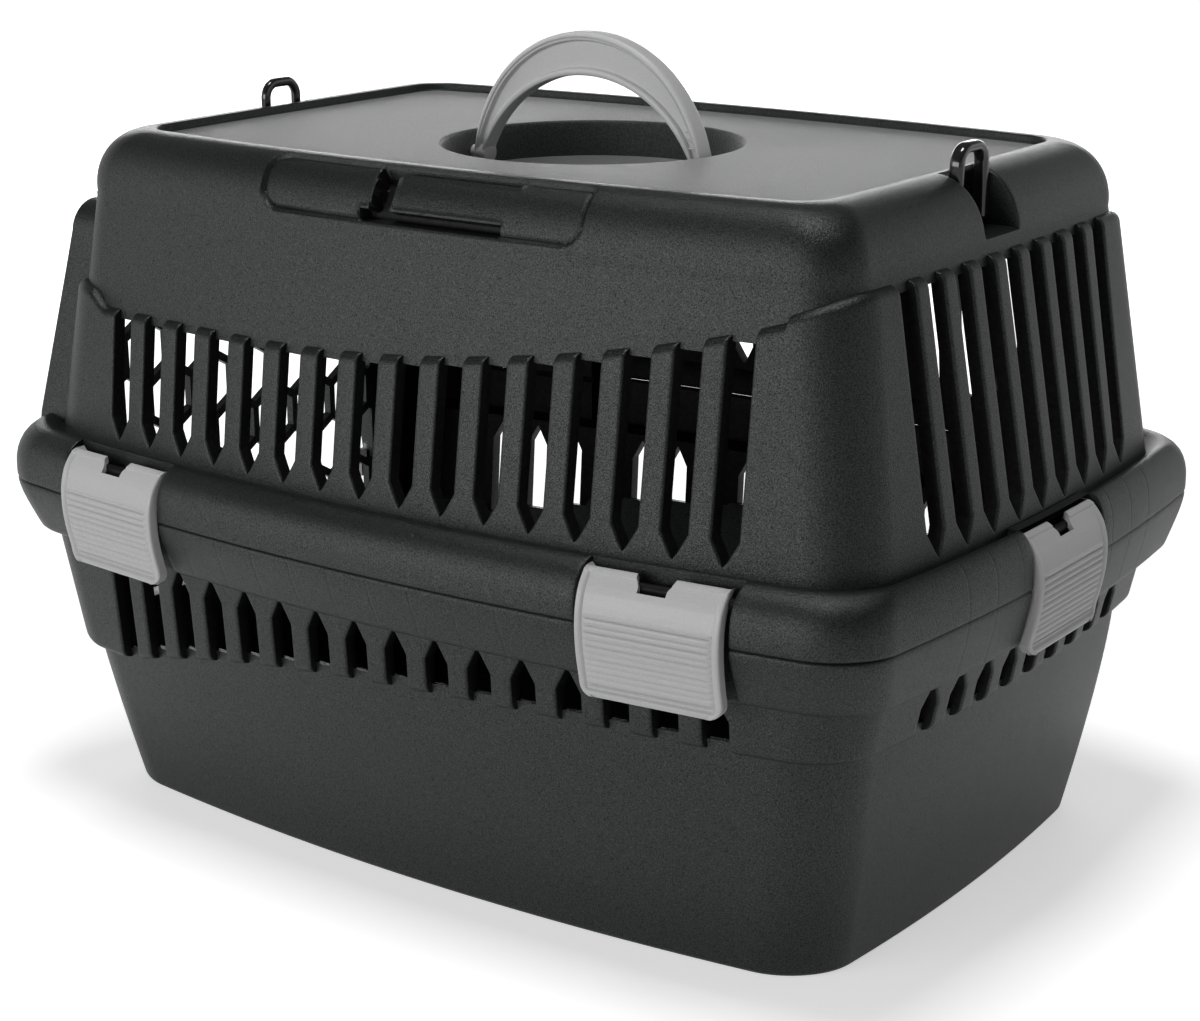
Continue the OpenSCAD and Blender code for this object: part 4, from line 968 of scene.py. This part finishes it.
def strap_loop(name, side, wide, finishes, body, node):
    """A bent rod carried up one leg, round two quarter circles and down the other, and its cross bar."""
    bend = LOOP_PIVOT + LOOP_HIGH - LOOP_CORNER
    a = np.linspace(0, math.pi, 34)
    flat = (LOOP_HALF - LOOP_CORNER) * np.sign(np.cos(a)) + LOOP_CORNER * np.cos(a)
    path_y = np.concatenate([[LOOP_HALF] * 2, flat, [-LOOP_HALF] * 2])
    path_z = np.concatenate([[LOOP_PIVOT, LOOP_PIVOT + 9], bend + LOOP_CORNER * np.sin(a),
                             [LOOP_PIVOT + 9, LOOP_PIVOT]])
    out_y = np.concatenate([[1, 1], np.cos(a), [-1, -1]])
    out_z = np.concatenate([[0, 0], np.sin(a), [0, 0]])
    t = np.linspace(0, 2 * math.pi, 29)[:-1]
    # a squarish section: sign(cos) |cos|^0.75 and the same of the sine
    sx = wide * np.sign(np.cos(t)) * np.abs(np.cos(t)) ** 0.75
    sr = 2.2 * np.sign(np.sin(t)) * np.abs(np.sin(t)) ** 0.75
    rings = np.stack([side * LOOP_X + sx + 0 * path_y[:, None], path_y[:, None] + out_y[:, None] * sr,
                      path_z[:, None] + out_z[:, None] * sr], -1)
    bar_y = np.array([-16.4, -16.0, 16.0, 16.4])
    bar_r = np.array([1.7, 2.0, 2.0, 1.7])[:, None]
    bar = np.stack([side * LOOP_X + bar_r * np.cos(t), np.repeat(bar_y[:, None], 28, 1),
                    LOOP_PIVOT + bar_r * np.sin(t)], -1)
    points, faces = merge(tube(rings), tube(bar))
    return add_piece(name, points, faces, finishes, body, (node,))


# ---------------------------------------------------------------- the carrier
slotted_band("lid_band", False, ROLL_UP, LEDGE_UP, [SHELL, BLACK_AND_PAINTED_SHADE], "lid", ("lid_shell",))
slotted_band("tub_band", True, ROLL_DOWN, LEDGE_DOWN, [SHELL, BLACK_AND_PAINTED_SHADE], "base",
             ("base_tub",))
RING = ring_columns()
lid_crown(RING, [SHELL, BLACK_AND_PAINTED_SHADE])
lid_tray(RING, [TOP_PAINTED_LIGHTER])
tub_belly(RING, [SHELL])
door_frame("lid_door_frame", arch(100, 262, 268, 6, 100, PART_Z),
           arch(104, 260, 274, 14, 126, PART_Z, (-124, 176.5)),
           lambda z: 236 - 13 * (z - PART_Z) / 121, [SHELL], "lid")
door_frame("tub_door_frame", arch(100, 84, 78, 6, 100, PART_Z), arch(104, 84, 70, 14, 126, PART_Z),
           lambda z: 224 + 12 * (z - 70) / 83, [SHELL], "base")
for name, place in LATCHES.items():
    latch(name + "_plate", place, name, name, [GREY])
carry_handle([GRIP])
strap_loop("loop_door_end", -1, 2.0, [GLOSS], "strap_loop_door_end", "strap_loop_door_end")
strap_loop("loop_closed_end", 1, 3.0, [GLOSS], "strap_loop_closed_end", "strap_loop_closed_end")


# ---------------------------------------------------------------- floor, light and camera
# The floor's own white: near the object, in reflections, and the distances (m) over which it grows to 1.
FLOOR_GLOW, MIRRORED_GLOW, GLOW_NEAR, GLOW_FAR = 0.52, 0.25, 0.35, 1.3
FLOOR_REACH, FLOOR_WHITE = 6.0, 0.9
# Light from around: at the horizon and overhead, the rise over which it changes, what is left of it on
# the camera's side, the way to that side, and where along that way it starts and ends to dim.
HORIZON_LIGHT, OVERHEAD_LIGHT, RAMP = 0.95, 0.12, (0.12, 0.5)
CAMERA_SIDE, TOWARD_CAMERA, DIMMING = 0.35, (0.583, -0.812, 0.0), (0.45, 0.95)
# Area lamps: place and aim (m), size (m), power (W).
LAMPS = {"back": ((-1.6, 2.3, 0.62), (0, 0, 0.25), (2.4, 0.6), 20.0),
         "key": ((-0.5, -2.2, 0.60), (0, 0, 0.2), (2.2, 0.8), 21.0),
         "top": ((0.0, -0.2, 2.6), (0, 0, 0), (0.7, 0.7), 26.0)}
# The camera found from the photo: turn, rise and roll (degrees), aim and distance (m), lens and shift.
AZIMUTH, ELEVATION, ROLL = 35.68, 18.78, -0.13
AIM, DISTANCE = (0.0033, 0.0, 0.0918), 1.1588
LENS, SENSOR, SHIFT_Y, CLIP = 74.06, 36.0, 0.078, (0.05, 30.0)


def worked_out(tree, operation, *given):
    """A math node's result, from sockets and plain numbers."""
    node = tree.nodes.new("ShaderNodeMath")
    node.operation = operation
    for socket, value in zip(node.inputs, given):
        if isinstance(value, float):
            socket.default_value = value
        else:
            tree.links.new(value, socket)
    return node.outputs[0]


def eased(tree, value, start, end, low, high):
    """A smooth step from low at start to high at end."""
    node = tree.nodes.new("ShaderNodeMapRange")
    node.interpolation_type = "SMOOTHSTEP"
    for label, number in zip(("From Min", "From Max", "To Min", "To Max"), (start, end, low, high)):
        node.inputs[label].default_value = number
    tree.links.new(value, node.inputs["Value"])
    return node.outputs[0]


def vector_node(tree, operation, vector):
    node = tree.nodes.new("ShaderNodeVectorMath")
    node.operation = operation
    tree.links.new(vector, node.inputs[0])
    return node


def stage_floor():
    """A pale floor that keeps the object's shadow and is white where the camera or a reflection sees it."""
    mesh = bpy.data.meshes.new("floor")
    r = FLOOR_REACH
    mesh.from_pydata([(-r, -r, 0), (r, -r, 0), (r, r, 0), (-r, r, 0)], [], [(0, 1, 2, 3)])
    floor = bpy.data.objects.new("floor", mesh)
    bpy.context.scene.collection.objects.link(floor)
    material = bpy.data.materials.new("floor_white")
    material.use_nodes = True
    tree = material.node_tree
    shader = tree.nodes["Principled BSDF"]
    shader.inputs["Base Color"].default_value = (FLOOR_WHITE, FLOOR_WHITE, FLOOR_WHITE, 1)
    shader.inputs["Roughness"].default_value = 0.9
    shader.inputs["Emission Color"].default_value = (1, 1, 1, 1)
    path = tree.nodes.new("ShaderNodeLightPath")
    place = tree.nodes.new("ShaderNodeTexCoord").outputs["Object"]
    away = vector_node(tree, "LENGTH", place).outputs["Value"]
    near = eased(tree, away, GLOW_NEAR, GLOW_FAR, FLOOR_GLOW, 1.0)
    seen = worked_out(tree, "MULTIPLY", path.outputs["Is Camera Ray"], near)
    mirrored = worked_out(tree, "MAXIMUM", path.outputs["Is Glossy Ray"], path.outputs["Is Transmission Ray"])
    tree.links.new(worked_out(tree, "MULTIPLY_ADD", mirrored, MIRRORED_GLOW, seen),
                   shader.inputs["Emission Strength"])
    mesh.materials.append(material)


def area_light(name, place, aim, size, power):
    lamp = bpy.data.lights.new(name, "AREA")
    lamp.shape = "RECTANGLE"
    lamp.size, lamp.size_y = size
    lamp.energy = power
    holder = bpy.data.objects.new(name, lamp)
    holder.location = place
    holder.rotation_mode = "QUATERNION"
    holder.rotation_quaternion = (Vector(aim) - Vector(place)).to_track_quat("-Z", "Y")
    holder.visible_camera = False
    bpy.context.scene.collection.objects.link(holder)


def backdrop():
    """White where the camera looks past the object, a plain soft grey for the light it gives."""
    world = bpy.data.worlds.new("studio")
    bpy.context.scene.world = world
    world.use_nodes = True
    tree = world.node_tree
    tree.nodes.clear()
    seen = tree.nodes.new("ShaderNodeBackground")
    seen.inputs["Color"].default_value = (1, 1, 1, 1)
    lit = tree.nodes.new("ShaderNodeBackground")
    way = tree.nodes.new("ShaderNodeTexCoord").outputs["Generated"]
    parts = tree.nodes.new("ShaderNodeSeparateXYZ")
    tree.links.new(way, parts.inputs[0])
    height = eased(tree, parts.outputs["Z"], *RAMP, HORIZON_LIGHT, OVERHEAD_LIGHT)
    toward = vector_node(tree, "DOT_PRODUCT", way)
    toward.inputs[1].default_value = TOWARD_CAMERA
    side = eased(tree, toward.outputs["Value"], *DIMMING, 1.0, CAMERA_SIDE)
    tree.links.new(worked_out(tree, "MULTIPLY", height, side), lit.inputs["Strength"])
    choose = tree.nodes.new("ShaderNodeMixShader")
    path = tree.nodes.new("ShaderNodeLightPath")
    tree.links.new(path.outputs["Is Camera Ray"], choose.inputs["Fac"])
    tree.links.new(lit.outputs[0], choose.inputs[1])
    tree.links.new(seen.outputs[0], choose.inputs[2])
    tree.links.new(choose.outputs[0], tree.nodes.new("ShaderNodeOutputWorld").inputs["Surface"])


def photo_camera():
    """The photo's view: the camera stands back from its aim by its distance, turned and raised."""
    azimuth, elevation = math.radians(AZIMUTH), math.radians(ELEVATION)
    back = Vector((math.sin(azimuth) * math.cos(elevation), -math.cos(azimuth) * math.cos(elevation),
                   math.sin(elevation)))
    lens = bpy.data.cameras.new("photo")
    lens.sensor_width, lens.lens, lens.shift_y = SENSOR, LENS, SHIFT_Y
    lens.clip_start, lens.clip_end = CLIP
    camera = bpy.data.objects.new("photo", lens)
    camera.location = Vector(AIM) + back * DISTANCE
    camera.rotation_mode = "QUATERNION"
    roll = Quaternion(Vector((0, 0, 1)), math.radians(ROLL))
    camera.rotation_quaternion = (-back).to_track_quat("-Z", "Y") @ roll
    bpy.context.scene.collection.objects.link(camera)
    bpy.context.scene.camera = camera


stage_floor()
backdrop()
for name, (place, aim, size, power) in LAMPS.items():
    area_light(name, place, aim, size, power)
photo_camera()
bpy.context.scene.view_settings.view_transform = "Standard"
